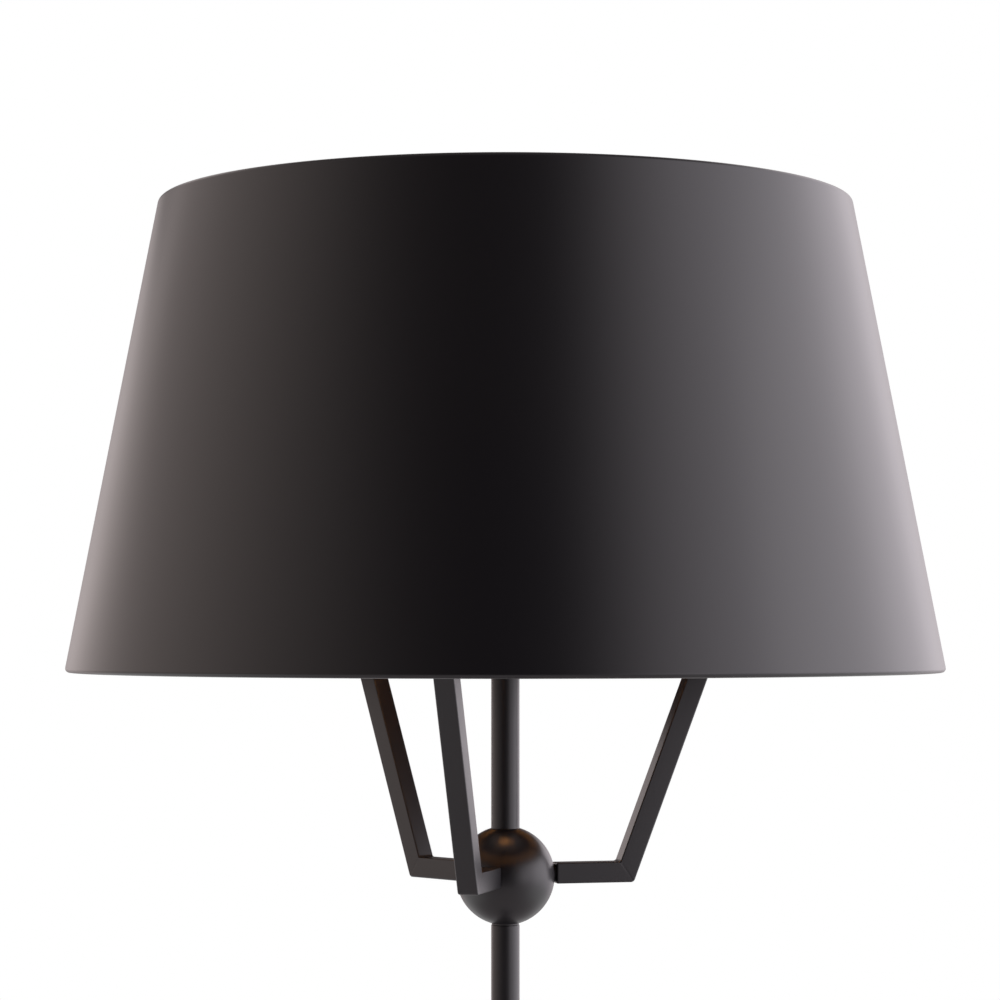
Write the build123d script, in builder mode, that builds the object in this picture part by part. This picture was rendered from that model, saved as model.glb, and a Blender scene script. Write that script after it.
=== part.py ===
from build123d import *

import os
from math import cos, radians, sin, sqrt

os.makedirs("parts", exist_ok=True)

# A floor lamp: a tapered metal shade on three mitred arms that stand out from a ball on the stem.
# Millimetres, +Z up. The origin is on the floor under the stem, and the first arm points along +X.

# Fits
slip = 0.02             # radial room between pieces that are pressed, brazed or screwed together
turning_fit = 0.05      # radial room round the spindle of the switch
loose_fit = 0.5         # radial room of a bolt in its clearance hole

# Base
base_d = 305.0
cover_wall = 1.5
cover_lift = 1.0        # the cover's edge clears the floor by this much
cover_side = 14.0       # height of the straight side above that edge
cover_corner = 6.0      # radius from the side to the top
cover_seat_z = 27.0     # top of the flat at the middle
cover_seat_d = 52.0
pad_inset = 7.5         # from the cover's side to the pad's edge
pad_thick = 2.0
pad_hole_d = 60.0
weight_gap = 4.0        # between the weight and the cover's side
weight_thick = 14.0
weight_edge = 2.0       # chamfer of the casting's top edge
nut_room_d = 46.0
nut_room_depth = 11.0
channel_width = 9.0
locknut_across = 17.0
locknut_thick = 5.0
washer_d = 24.0
washer_thick = 1.2
nut_end_out = 1.0       # a nipple's end stands out of its locknut by this much
bushing_z = 8.5
bushing_bore = 6.5
bushing_neck_d = 9.5
bushing_flange_d = 12.5
bushing_flange = 1.6
bushing_lip = 1.2

# Stem
stem_d = 16.5
stem_wall = 1.5
stem_sections = 3
tube_edge = 0.6         # chamfer on the end of a tube
insert_length = 18.0
insert_inset = 0.5      # an insert's end stays this much inside the tube
nipple_d = 10.0
nipple_bore = 7.0
nipple_grip = 14.0      # how far a nipple screws into an insert
collar_d = 36.0
collar_height = 11.0
collar_edge = 1.5

# Ball
ball_d = 57.15
ball_z = 1210.0
neck_d = 15.8
neck_thick = 0.8
ball_seat = 3.0         # depth of the seat that the upper tube stands in

# Arms
arm_count = 3
bar = 12.0              # side of the square bar
bar_edge = 0.8
arm_rise = 1.0          # the bars leave the ball this much above its centre
arm_gap = 0.9           # between the ball and the end of a bar
elbow_r = 72.0          # from the stem's axis to the elbow, along the middle of the bar
arm_end_inset = 14.2    # from the shade's wall to the middle of a bar's upper end
spacer_d = 10.0
stud_d = 6.0
stud_in_ball = 13.0
stud_in_arm = 14.0

# Shade
shade_bottom_d = 508.0
shade_top_d = 404.0
shade_height = 272.0
shade_wall = 1.0
shade_rise = 118.0      # from the ball's centre up to the lower rim
bead_d = 6.4            # wired edge at both rims, rolled inwards
ring_rise = 212.0       # from the lower rim up to the ring
ring_width = 26.5       # of the flat that the arms carry
ring_thick = 2.5
ring_leg = 14.0         # height of the leg that stands against the shade
shade_stud_depth = 6.0
shade_washer_d = 15.0
shade_washer_thick = 1.2
shade_nut_d = 14.0
shade_nut_height = 9.0
shade_nut_cap = 2.7     # metal left over the end of the stud
shade_nut_grooves = 16
shade_nut_groove = 0.5

# Lampholder
holder_rise = 156.0     # from the ball's centre up to the underside of the lampholder
cup_d = 39.0
cup_height = 20.0
cup_wall = 0.9
cup_hub_d = 19.0
cup_hub_height = 5.0
cup_floor = 2.5
cup_nut_across = 14.0
cup_nut_thick = 3.0
shell_wall = 0.7
shell_height = 46.0
shell_lip = 1.6
liner_wall = 0.8
liner_short = 3.0       # the liner ends this much below the shell's lip
core_foot = 16.0        # above the lampholder's underside
core_height = 20.0
terminal_d = 6.0
terminal_head = 2.4
terminal_shank_d = 3.0
terminal_shank = 5.0
terminal_r = 9.0
thread_shell_d = 26.6   # inside diameter
thread_shell_wall = 0.5
thread_shell_height = 21.0
contact_d = 9.0
contact_thick = 1.5

# Switch
spindle_d = 3.2
spindle_above_core = 11.0
spindle_inner_r = 5.0
spindle_hole_room = 0.9
key_d = 10.0
key_length = 15.0
key_gap = 1.8           # between the shell and the key
key_flutes = 10
key_flute_d = 1.8
key_dome = 1.6

# Bulb
glass_d = 60.0
glass_wall = 0.8
glass_neck_d = 25.0
glass_neck = 5.0
glass_shoulder = 40.0   # degrees below the widest circle where the neck's curve begins
cap_d = 26.2
cap_wall = 0.4
cap_height = 22.0
cap_dish = 3.5
tip_d = 8.0
tip_height = 1.0

# Places that several pieces share
stem_inner_d = stem_d - 2 * stem_wall
thread_hole_r = nipple_d / 2 + slip
nut_face_z = pad_thick + nut_room_depth
weight_r = base_d / 2 - cover_wall - weight_gap
boss_top = cover_seat_z - cover_wall
ball_r = ball_d / 2
neck_top = ball_z - sqrt(ball_r**2 - (neck_d / 2) ** 2)
stem_top = neck_top - neck_thick
section_length = (stem_top - cover_seat_z) / stem_sections
upper_tube_foot = ball_z + sqrt(ball_r**2 - (stem_d / 2) ** 2) - ball_seat
holder_z = ball_z + holder_rise
arm_z = ball_z + arm_rise
arm_start = ball_r + arm_gap
spacer_seat_r = sqrt(ball_r**2 - (spacer_d / 2 + arm_rise) ** 2)
rim_z = ball_z + shade_rise
ring_z = rim_z + ring_rise
taper = (shade_bottom_d - shade_top_d) / 2 / shade_height
wall_across = shade_wall * sqrt(1 + taper**2)
ring_outer_r = shade_bottom_d / 2 - taper * ring_rise - wall_across - slip
ring_inner_r = ring_outer_r - ring_width
arm_end_r = ring_outer_r - arm_end_inset
slope = (arm_end_r - elbow_r) / (ring_z - arm_z)
cup_flare = (cup_d - cup_hub_d) / 2
shell_foot = holder_z + cup_hub_height + cup_flare + slip
shell_r = cup_d / 2 - cup_wall - slip
liner_r = shell_r - shell_wall - slip
core_r = liner_r - liner_wall - slip
core_top = holder_z + core_foot + core_height
spindle_z = holder_z + core_foot + spindle_above_core
contact_top = core_top + contact_thick


def shade_outer_r(z):
    # Radius of the shade's outside at the height z.
    return shade_bottom_d / 2 - taper * (z - rim_z)


def shade_inner_r(z):
    return shade_outer_r(z) - wall_across


def across_arm(n, r):
    # Plane square across the arm n, at the radius r, centred on the middle of its bar.
    turn = radians(n * 360 / arm_count)
    return Plane(
        origin=(r * cos(turn), r * sin(turn), arm_z),
        x_dir=(-sin(turn), cos(turn), 0),
        z_dir=(cos(turn), sin(turn), 0),
    )


# Felt pad, the face that the lamp stands on
with BuildPart() as floor_pad:
    with BuildSketch():
        Circle(base_d / 2 - pad_inset)
        Circle(pad_hole_d / 2, mode=Mode.SUBTRACT)
    extrude(amount=pad_thick)
floor_pad.part.label = "floor_pad"
export_step(floor_pad.part, "parts/floor_pad.step")


# Cast weight with a boss under the cover, room for the nut below, and a channel for the lead
with BuildPart() as base_weight:
    with BuildSketch(Plane.XY.offset(pad_thick)):
        Circle(weight_r)
    extrude(amount=weight_thick)
    chamfer(base_weight.edges().sort_by(Axis.Z)[-1], weight_edge)
    with BuildSketch(Plane.XY.offset(pad_thick)):
        Circle(cover_seat_d / 2)
    extrude(amount=boss_top - pad_thick)
    with BuildSketch(Plane.XY.offset(pad_thick)):
        Circle(nut_room_d / 2)
        with Locations((0, weight_r / 2)):
            Rectangle(channel_width, weight_r)
    extrude(amount=nut_room_depth, mode=Mode.SUBTRACT)
    with BuildSketch(Plane.XY.offset(pad_thick)):
        Circle(thread_hole_r)
    extrude(amount=boss_top - pad_thick, mode=Mode.SUBTRACT)
base_weight.part.label = "base_weight"
export_step(base_weight.part, "parts/base_weight.step")


# Spun cover: one outline, made hollow from below
with BuildPart() as base_cover:
    with BuildSketch(Plane.XZ):
        with BuildLine():
            side_top = cover_lift + cover_side
            Polyline(
                (0, cover_lift),
                (base_d / 2, cover_lift),
                (base_d / 2, side_top + cover_corner),
                (cover_seat_d / 2, cover_seat_z),
                (0, cover_seat_z),
                close=True,
            )
        make_face()
        shoulder = vertices().sort_by(Axis.X)[-2:].sort_by(Axis.Y)[-1]
        fillet(shoulder, cover_corner)
    revolve(axis=Axis.Z)
    offset(amount=-cover_wall, openings=base_cover.faces().sort_by(Axis.Z)[0])
    with BuildSketch(Plane.XY.offset(cover_seat_z)):
        Circle(thread_hole_r)
    extrude(amount=-2 * cover_wall, mode=Mode.SUBTRACT)
    with BuildSketch(Plane.XZ):
        with Locations((0, bushing_z)):
            Circle(bushing_neck_d / 2 + slip)
    extrude(amount=-base_d, mode=Mode.SUBTRACT)
base_cover.part.label = "base_cover"
export_step(base_cover.part, "parts/base_cover.step")


# Rubber bushing where the lead leaves the cover, at the back
bushing_outer_y = base_d / 2
bushing_lip_y = sqrt((base_d / 2 - cover_wall) ** 2 - (bushing_flange_d / 2) ** 2) - slip
with BuildPart() as cord_bushing:
    with BuildSketch(Plane.XZ.offset(-bushing_outer_y)):
        with Locations((0, bushing_z)):
            Circle(bushing_flange_d / 2)
    extrude(amount=-bushing_flange)
    fillet(cord_bushing.edges().sort_by(Axis.Y)[-1], bushing_flange / 2)
    with BuildSketch(Plane.XZ.offset(-bushing_outer_y)):
        with Locations((0, bushing_z)):
            Circle(bushing_neck_d / 2)
    extrude(amount=bushing_outer_y - bushing_lip_y + bushing_lip)
    with BuildSketch(Plane.XZ.offset(-bushing_lip_y)):
        with Locations((0, bushing_z)):
            Circle(bushing_flange_d / 2)
    extrude(amount=bushing_lip)
    with BuildSketch(Plane.XZ.offset(-bushing_outer_y - bushing_flange)):
        with Locations((0, bushing_z)):
            Circle(bushing_bore / 2)
    extrude(amount=bushing_outer_y, mode=Mode.SUBTRACT)
cord_bushing.part.label = "cord_bushing"
export_step(cord_bushing.part, "parts/cord_bushing.step")


# Washer and locknut that hold the weight, the cover and the stem together
with BuildPart() as base_washer:
    with BuildSketch(Plane.XY.offset(nut_face_z)):
        Circle(washer_d / 2)
        Circle(thread_hole_r, mode=Mode.SUBTRACT)
    extrude(amount=-washer_thick)
base_washer.part.label = "base_washer"
export_step(base_washer.part, "parts/base_washer.step")

with BuildPart() as base_locknut:
    with BuildSketch(Plane.XY.offset(nut_face_z - washer_thick)):
        RegularPolygon(locknut_across / 2, 6, major_radius=False)
        Circle(thread_hole_r, mode=Mode.SUBTRACT)
    extrude(amount=-locknut_thick)
base_locknut.part.label = "base_locknut"
export_step(base_locknut.part, "parts/base_locknut.step")

# Threaded tube from the locknut up into the foot of the stem
base_nipple_foot = nut_face_z - washer_thick - locknut_thick - nut_end_out
with BuildPart() as base_nipple:
    with BuildSketch(Plane.XY.offset(base_nipple_foot)):
        Circle(nipple_d / 2)
        Circle(nipple_bore / 2, mode=Mode.SUBTRACT)
    extrude(amount=cover_seat_z + nipple_grip - base_nipple_foot)
base_nipple.part.label = "base_nipple"
export_step(base_nipple.part, "parts/base_nipple.step")

# Turned collar that hides the foot of the stem
with BuildPart() as stem_collar:
    with BuildSketch(Plane.XZ):
        with BuildLine():
            inner_r = stem_d / 2 + slip
            waist_r = stem_d / 2 + collar_edge
            foot_top = cover_seat_z + collar_edge
            Polyline(
                (waist_r, cover_seat_z + collar_height),
                (inner_r, cover_seat_z + collar_height),
                (inner_r, cover_seat_z),
                (collar_d / 2, cover_seat_z),
                (collar_d / 2, foot_top),
            )
            ThreePointArc(
                (collar_d / 2, foot_top),
                (
                    waist_r + (collar_d / 2 - waist_r) * (1 - sin(radians(45))),
                    foot_top + (collar_height - collar_edge) * (1 - sin(radians(45))),
                ),
                (waist_r, cover_seat_z + collar_height),
            )
        make_face()
    revolve(axis=Axis.Z)
stem_collar.part.label = "stem_collar"
export_step(stem_collar.part, "parts/stem_collar.step")


# Stem below the ball, in tubes that screw together
def stem_tube(foot, top):
    with BuildPart() as tube:
        with BuildSketch(Plane.XY.offset(foot)):
            Circle(stem_d / 2)
            Circle(stem_inner_d / 2, mode=Mode.SUBTRACT)
        extrude(amount=top - foot)
        outer_edges = tube.edges().filter_by(GeomType.CIRCLE).sort_by(SortBy.RADIUS)[-2:]
        chamfer(outer_edges, tube_edge)
    return tube


section_names = ["lower", "middle", "top"]
for section in range(stem_sections):
    foot = cover_seat_z + section * section_length
    tube_name = f"stem_tube_{section_names[section]}"
    stem_section = stem_tube(foot, foot + section_length)
    stem_section.part.label = tube_name
    export_step(stem_section.part, f"parts/{tube_name}.step")

holder_tube = stem_tube(upper_tube_foot, holder_z)
holder_tube.part.label = "holder_tube"
export_step(holder_tube.part, "parts/holder_tube.step")

# Threaded inserts brazed into both ends of every tube
tube_spans = [
    (cover_seat_z + n * section_length, cover_seat_z + (n + 1) * section_length)
    for n in range(stem_sections)
]
tube_spans.append((upper_tube_foot, holder_z))
with BuildPart() as tube_inserts:
    for span_foot, span_top in tube_spans:
        for insert_foot in (span_foot + insert_inset, span_top - insert_inset - insert_length):
            with BuildSketch(Plane.XY.offset(insert_foot)):
                Circle(stem_inner_d / 2 - slip)
                Circle(thread_hole_r, mode=Mode.SUBTRACT)
            extrude(amount=insert_length)
tube_inserts.part.label = "tube_inserts"
export_step(tube_inserts.part, "parts/tube_inserts.step")

# Threaded tubes inside the joints between the stem's sections
with BuildPart() as stem_nipples:
    for joint in range(1, stem_sections):
        joint_z = cover_seat_z + joint * section_length
        with BuildSketch(Plane.XY.offset(joint_z - nipple_grip)):
            Circle(nipple_d / 2)
            Circle(nipple_bore / 2, mode=Mode.SUBTRACT)
        extrude(amount=2 * nipple_grip)
stem_nipples.part.label = "stem_nipples"
export_step(stem_nipples.part, "parts/stem_nipples.step")


# Ball: a flat for the neck below, a seat for the tube above, and a threaded hole for each arm
with BuildPart() as hub_ball:
    with Locations((0, 0, ball_z)):
        Sphere(ball_r)
    with BuildSketch(Plane.XY.offset(neck_top)):
        Circle(ball_r)
    extrude(amount=-ball_r, mode=Mode.SUBTRACT)
    with BuildSketch(Plane.XY.offset(upper_tube_foot)):
        Circle(stem_d / 2 + slip)
    extrude(amount=ball_r, mode=Mode.SUBTRACT)
    with BuildSketch(Plane.XY.offset(neck_top)):
        Circle(thread_hole_r)
    extrude(amount=ball_d, mode=Mode.SUBTRACT)
    for n in range(arm_count):
        with BuildSketch(across_arm(n, spacer_seat_r)):
            Circle(spacer_d / 2 + slip)
        extrude(amount=arm_gap, mode=Mode.SUBTRACT)
        with BuildSketch(across_arm(n, ball_r - stud_in_ball)):
            Circle(stud_d / 2 + slip)
        extrude(amount=stud_in_ball, mode=Mode.SUBTRACT)
hub_ball.part.label = "hub_ball"
export_step(hub_ball.part, "parts/hub_ball.step")

# Washer that makes the dark line under the ball
with BuildPart() as ball_neck:
    with BuildSketch(Plane.XY.offset(stem_top)):
        Circle(neck_d / 2)
        Circle(thread_hole_r, mode=Mode.SUBTRACT)
    extrude(amount=neck_thick)
ball_neck.part.label = "ball_neck"
export_step(ball_neck.part, "parts/ball_neck.step")

# Threaded tube through the ball, into the tubes below and above it
with BuildPart() as ball_nipple:
    with BuildSketch(Plane.XY.offset(stem_top - nipple_grip)):
        Circle(nipple_d / 2)
        Circle(nipple_bore / 2, mode=Mode.SUBTRACT)
    extrude(amount=upper_tube_foot + nipple_grip - (stem_top - nipple_grip))
ball_nipple.part.label = "ball_nipple"
export_step(ball_nipple.part, "parts/ball_nipple.step")


# Round spacers and threaded studs between the ball and the arms
with BuildPart() as arm_spacers:
    for n in range(arm_count):
        with BuildSketch(across_arm(n, spacer_seat_r)):
            Circle(spacer_d / 2)
            Circle(stud_d / 2 + slip, mode=Mode.SUBTRACT)
        extrude(amount=arm_start - spacer_seat_r)
arm_spacers.part.label = "arm_spacers"
export_step(arm_spacers.part, "parts/arm_spacers.step")

with BuildPart() as arm_studs:
    for n in range(arm_count):
        with BuildSketch(across_arm(n, ball_r - stud_in_ball)):
            Circle(stud_d / 2)
        extrude(amount=stud_in_ball + arm_gap + stud_in_arm)
arm_studs.part.label = "arm_studs"
export_step(arm_studs.part, "parts/arm_studs.step")

# First arm: a square bar swept round a mitred elbow, cut level where the shade's ring lies on it
arm_overrun = bar
with BuildPart() as first_arm:
    with BuildLine(Plane.XZ) as arm_path:
        Polyline(
            (arm_start, arm_z),
            (elbow_r, arm_z),
            (arm_end_r + slope * arm_overrun, ring_z + arm_overrun),
        )
    with BuildSketch(across_arm(0, arm_start)):
        RectangleRounded(bar, bar, bar_edge)
    sweep(path=arm_path.line, transition=Transition.RIGHT)
    split(bisect_by=Plane.XY.offset(ring_z), keep=Keep.BOTTOM)
    with BuildSketch(across_arm(0, arm_start)):
        Circle(stud_d / 2 + slip)
    extrude(amount=stud_in_arm, mode=Mode.SUBTRACT)
    with BuildSketch(Plane.XY.offset(ring_z)):
        with Locations((arm_end_r, 0)):
            Circle(stud_d / 2 + slip)
    extrude(amount=-shade_stud_depth, mode=Mode.SUBTRACT)

# The arms are alike, each turned to its own place round the ball
for n in range(arm_count):
    arm_name = f"arm_{n + 1}"
    with BuildPart() as arm:
        add(first_arm.part, rotation=(0, 0, n * 360 / arm_count))
    arm.part.label = arm_name
    export_step(arm.part, f"parts/{arm_name}.step")

# Studs that stand up out of the arms' ends
stud_top = ring_z + ring_thick + shade_washer_thick + shade_nut_height - shade_nut_cap
with BuildPart() as shade_studs:
    with BuildSketch(Plane.XY.offset(ring_z - shade_stud_depth)):
        with PolarLocations(arm_end_r, arm_count):
            Circle(stud_d / 2)
    extrude(amount=stud_top - (ring_z - shade_stud_depth))
shade_studs.part.label = "shade_studs"
export_step(shade_studs.part, "parts/shade_studs.step")


# Shade: a thin tapered wall with a rolled bead along both rims
with BuildPart() as shade:
    bead_r = bead_d / 2
    with BuildSketch(Plane.XZ):
        low_z = rim_z + bead_r
        high_z = rim_z + shade_height - bead_r
        Polygon(
            (shade_outer_r(low_z), low_z),
            (shade_outer_r(high_z), high_z),
            (shade_inner_r(high_z), high_z),
            (shade_inner_r(low_z), low_z),
            align=None,
        )
        bead_in = bead_r * sqrt(1 + taper**2)
        with Locations((shade_outer_r(low_z) - bead_in, low_z), (shade_outer_r(high_z) - bead_in, high_z)):
            Circle(bead_r)
    revolve(axis=Axis.Z)
shade.part.label = "shade"
export_step(shade.part, "parts/shade.step")

# Rolled angle ring inside the shade: the flat lies on the arms, the leg stands against the wall
leg_top = ring_z + ring_leg
flat_top = ring_z + ring_thick
with BuildPart() as shade_ring:
    with BuildSketch(Plane.XZ):
        Polygon(
            (ring_inner_r, ring_z),
            (ring_outer_r, ring_z),
            (shade_inner_r(leg_top) - slip, leg_top),
            (shade_inner_r(leg_top) - slip - ring_thick, leg_top),
            (shade_inner_r(flat_top) - slip - ring_thick, flat_top),
            (ring_inner_r, flat_top),
            align=None,
        )
    revolve(axis=Axis.Z)
    with BuildSketch(Plane.XY.offset(ring_z)):
        with PolarLocations(arm_end_r, arm_count):
            Circle(stud_d / 2 + loose_fit)
    extrude(amount=ring_thick, mode=Mode.SUBTRACT)
shade_ring.part.label = "shade_ring"
export_step(shade_ring.part, "parts/shade_ring.step")

# Washers and knurled nuts that hold the ring down on the arms
with BuildPart() as shade_washers:
    with BuildSketch(Plane.XY.offset(flat_top)):
        with PolarLocations(arm_end_r, arm_count):
            Circle(shade_washer_d / 2)
            Circle(stud_d / 2 + slip, mode=Mode.SUBTRACT)
    extrude(amount=shade_washer_thick)
shade_washers.part.label = "shade_washers"
export_step(shade_washers.part, "parts/shade_washers.step")

nut_foot = flat_top + shade_washer_thick
with BuildPart() as shade_nuts:
    with BuildSketch(Plane.XY.offset(nut_foot)):
        with PolarLocations(arm_end_r, arm_count):
            Circle(shade_nut_d / 2)
    extrude(amount=shade_nut_height)
    chamfer(shade_nuts.edges().group_by(Axis.Z)[-1], 2 * shade_nut_groove)
    with BuildSketch(Plane.XY.offset(nut_foot)):
        with PolarLocations(arm_end_r, arm_count):
            with PolarLocations(shade_nut_d / 2, shade_nut_grooves):
                Circle(shade_nut_groove)
    extrude(amount=shade_nut_height, mode=Mode.SUBTRACT)
    with BuildSketch(Plane.XY.offset(nut_foot)):
        with PolarLocations(arm_end_r, arm_count):
            Circle(stud_d / 2 + slip)
    extrude(amount=stud_top - nut_foot, mode=Mode.SUBTRACT)
shade_nuts.part.label = "shade_nuts"
export_step(shade_nuts.part, "parts/shade_nuts.step")


# Lampholder cup: a threaded hub that flares out to hold the shell
with BuildPart() as holder_cup:
    hub_r = cup_hub_d / 2
    flare_top = holder_z + cup_hub_height + cup_flare
    with BuildSketch(Plane.XZ):
        with BuildLine():
            Polyline(
                (0, holder_z + cup_height),
                (0, holder_z),
                (hub_r, holder_z),
                (hub_r, holder_z + cup_hub_height),
            )
            RadiusArc(
                (hub_r, holder_z + cup_hub_height),
                (cup_d / 2, flare_top),
                -cup_flare,
            )
            Polyline(
                (cup_d / 2, flare_top),
                (cup_d / 2, holder_z + cup_height),
                (0, holder_z + cup_height),
            )
        make_face()
    revolve(axis=Axis.Z)
    offset(amount=-cup_wall, openings=holder_cup.faces().sort_by(Axis.Z)[-1])
    with BuildSketch(Plane.XY.offset(holder_z)):
        Circle(hub_r - slip)
    extrude(amount=cup_floor)
    with BuildSketch(Plane.XY.offset(holder_z)):
        Circle(thread_hole_r)
    extrude(amount=cup_height, mode=Mode.SUBTRACT)
holder_cup.part.label = "holder_cup"
export_step(holder_cup.part, "parts/holder_cup.step")

# Threaded tube from the holder tube into the cup, and its thin nut inside the cup
cup_nipple_top = holder_z + cup_floor + cup_nut_thick + nut_end_out
with BuildPart() as holder_nipple:
    with BuildSketch(Plane.XY.offset(holder_z - nipple_grip)):
        Circle(nipple_d / 2)
        Circle(nipple_bore / 2, mode=Mode.SUBTRACT)
    extrude(amount=cup_nipple_top - (holder_z - nipple_grip))
holder_nipple.part.label = "holder_nipple"
export_step(holder_nipple.part, "parts/holder_nipple.step")

with BuildPart() as holder_nut:
    with BuildSketch(Plane.XY.offset(holder_z + cup_floor)):
        RegularPolygon(cup_nut_across / 2, 6, major_radius=False)
        Circle(thread_hole_r, mode=Mode.SUBTRACT)
    extrude(amount=cup_nut_thick)
holder_nut.part.label = "holder_nut"
export_step(holder_nut.part, "parts/holder_nut.step")

# Metal shell that stands in the cup, with a rolled lip and a hole for the switch's spindle
spindle_hole_r = spindle_d / 2 + spindle_hole_room
shell_top = shell_foot + shell_height
with BuildPart() as holder_shell:
    with BuildSketch(Plane.XZ):
        with BuildLine():
            lip_r = shell_lip / 2
            Polyline(
                (shell_r - shell_wall, shell_foot),
                (shell_r, shell_foot),
                (shell_r, shell_top - shell_lip),
                (shell_r + lip_r, shell_top - lip_r),
                (shell_r, shell_top),
                (shell_r - shell_wall, shell_top),
                (shell_r - shell_wall, shell_foot),
            )
        make_face()
    revolve(axis=Axis.Z)
    with BuildSketch(Plane.YZ):
        with Locations((0, spindle_z)):
            Circle(spindle_hole_r)
    extrude(amount=-cup_d, mode=Mode.SUBTRACT)
holder_shell.part.label = "holder_shell"
export_step(holder_shell.part, "parts/holder_shell.step")

# Insulating liner between the shell and the live pieces
with BuildPart() as holder_liner:
    with BuildSketch(Plane.XY.offset(shell_foot)):
        Circle(liner_r)
        Circle(liner_r - liner_wall, mode=Mode.SUBTRACT)
    extrude(amount=shell_height - liner_short)
    with BuildSketch(Plane.YZ):
        with Locations((0, spindle_z)):
            Circle(spindle_hole_r)
    extrude(amount=-cup_d, mode=Mode.SUBTRACT)
holder_liner.part.label = "holder_liner"
export_step(holder_liner.part, "parts/holder_liner.step")

# Moulded core with the switch's bore and two holes for the terminal screws
with BuildPart() as holder_core:
    with BuildSketch(Plane.XY.offset(holder_z + core_foot)):
        Circle(core_r)
    extrude(amount=core_height)
    with BuildSketch(Plane.YZ.offset(-spindle_inner_r)):
        with Locations((0, spindle_z)):
            Circle(spindle_d / 2 + turning_fit)
    extrude(amount=-core_r, mode=Mode.SUBTRACT)
    with BuildSketch(Plane.XY.offset(holder_z + core_foot)):
        with Locations((0, -terminal_r), (0, terminal_r)):
            Circle(terminal_shank_d / 2 + slip)
    extrude(amount=terminal_shank, mode=Mode.SUBTRACT)
holder_core.part.label = "holder_core"
export_step(holder_core.part, "parts/holder_core.step")

# Terminal screws under the core
with BuildPart() as terminal_screws:
    with BuildSketch(Plane.XY.offset(holder_z + core_foot)):
        with Locations((0, -terminal_r), (0, terminal_r)):
            Circle(terminal_d / 2)
    extrude(amount=-terminal_head)
    with BuildSketch(Plane.XY.offset(holder_z + core_foot)):
        with Locations((0, -terminal_r), (0, terminal_r)):
            Circle(terminal_shank_d / 2)
    extrude(amount=terminal_shank)
terminal_screws.part.label = "terminal_screws"
export_step(terminal_screws.part, "parts/terminal_screws.step")

# Shell that the bulb screws into, with a floor round the middle contact
with BuildPart() as thread_shell:
    with BuildSketch(Plane.XY.offset(core_top)):
        Circle(thread_shell_d / 2 + thread_shell_wall)
    extrude(amount=thread_shell_height)
    with BuildSketch(Plane.XY.offset(core_top + thread_shell_wall)):
        Circle(thread_shell_d / 2)
    extrude(amount=thread_shell_height, mode=Mode.SUBTRACT)
    with BuildSketch(Plane.XY.offset(core_top)):
        Circle(contact_d / 2 + 2 * loose_fit)
    extrude(amount=thread_shell_height, mode=Mode.SUBTRACT)
thread_shell.part.label = "thread_shell"
export_step(thread_shell.part, "parts/thread_shell.step")

with BuildPart() as middle_contact:
    with BuildSketch(Plane.XY.offset(core_top)):
        Circle(contact_d / 2)
    extrude(amount=contact_thick)
    fillet(middle_contact.edges().sort_by(Axis.Z)[-1], contact_thick / 2)
middle_contact.part.label = "middle_contact"
export_step(middle_contact.part, "parts/middle_contact.step")


# Switch: a spindle that turns in the core, and the fluted key on its end
key_inner_r = shell_r + key_gap
with BuildPart() as switch_spindle:
    with BuildSketch(Plane.YZ.offset(-spindle_inner_r - loose_fit)):
        with Locations((0, spindle_z)):
            Circle(spindle_d / 2)
    extrude(amount=-(key_inner_r + key_length / 2 - spindle_inner_r - loose_fit))
switch_spindle.part.label = "switch_spindle"
export_step(switch_spindle.part, "parts/switch_spindle.step")

with BuildPart() as switch_key:
    with BuildSketch(Plane.YZ.offset(-key_inner_r)):
        with Locations((0, spindle_z)):
            Circle(key_d / 2)
    extrude(amount=-key_length)
    fillet(switch_key.edges().sort_by(Axis.X)[0], key_dome)
    with BuildSketch(Plane.YZ.offset(-key_inner_r - key_dome)):
        with Locations((0, spindle_z)):
            with PolarLocations(key_d / 2, key_flutes):
                Circle(key_flute_d / 2)
    extrude(amount=-key_length, mode=Mode.SUBTRACT)
    with BuildSketch(Plane.YZ.offset(-key_inner_r)):
        with Locations((0, spindle_z)):
            Circle(spindle_d / 2 + slip)
    extrude(amount=-key_length / 2, mode=Mode.SUBTRACT)
switch_key.part.label = "switch_key"
export_step(switch_key.part, "parts/switch_key.step")


# Bulb: tip, screw cap and glass
cap_foot = contact_top + tip_height + cap_dish
glass_foot = cap_foot + cap_height
with BuildPart() as bulb_tip:
    with BuildSketch(Plane.XY.offset(contact_top)):
        Circle(tip_d / 2)
    extrude(amount=tip_height)
    fillet(bulb_tip.edges().sort_by(Axis.Z)[0], tip_height / 2)
bulb_tip.part.label = "bulb_tip"
export_step(bulb_tip.part, "parts/bulb_tip.step")

with BuildPart() as bulb_insulator:
    with BuildSketch(Plane.XY.offset(contact_top + tip_height)):
        Circle(tip_d / 2)
    with BuildSketch(Plane.XY.offset(cap_foot)):
        Circle(cap_d / 2 - 2 * cap_wall)
    loft()
bulb_insulator.part.label = "bulb_insulator"
export_step(bulb_insulator.part, "parts/bulb_insulator.step")

with BuildPart() as bulb_cap:
    with BuildSketch(Plane.XY.offset(cap_foot)):
        Circle(cap_d / 2)
    extrude(amount=cap_height)
    with BuildSketch(Plane.XY.offset(cap_foot + cap_wall)):
        Circle(cap_d / 2 - cap_wall)
    extrude(amount=cap_height, mode=Mode.SUBTRACT)
bulb_cap.part.label = "bulb_cap"
export_step(bulb_cap.part, "parts/bulb_cap.step")

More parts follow.
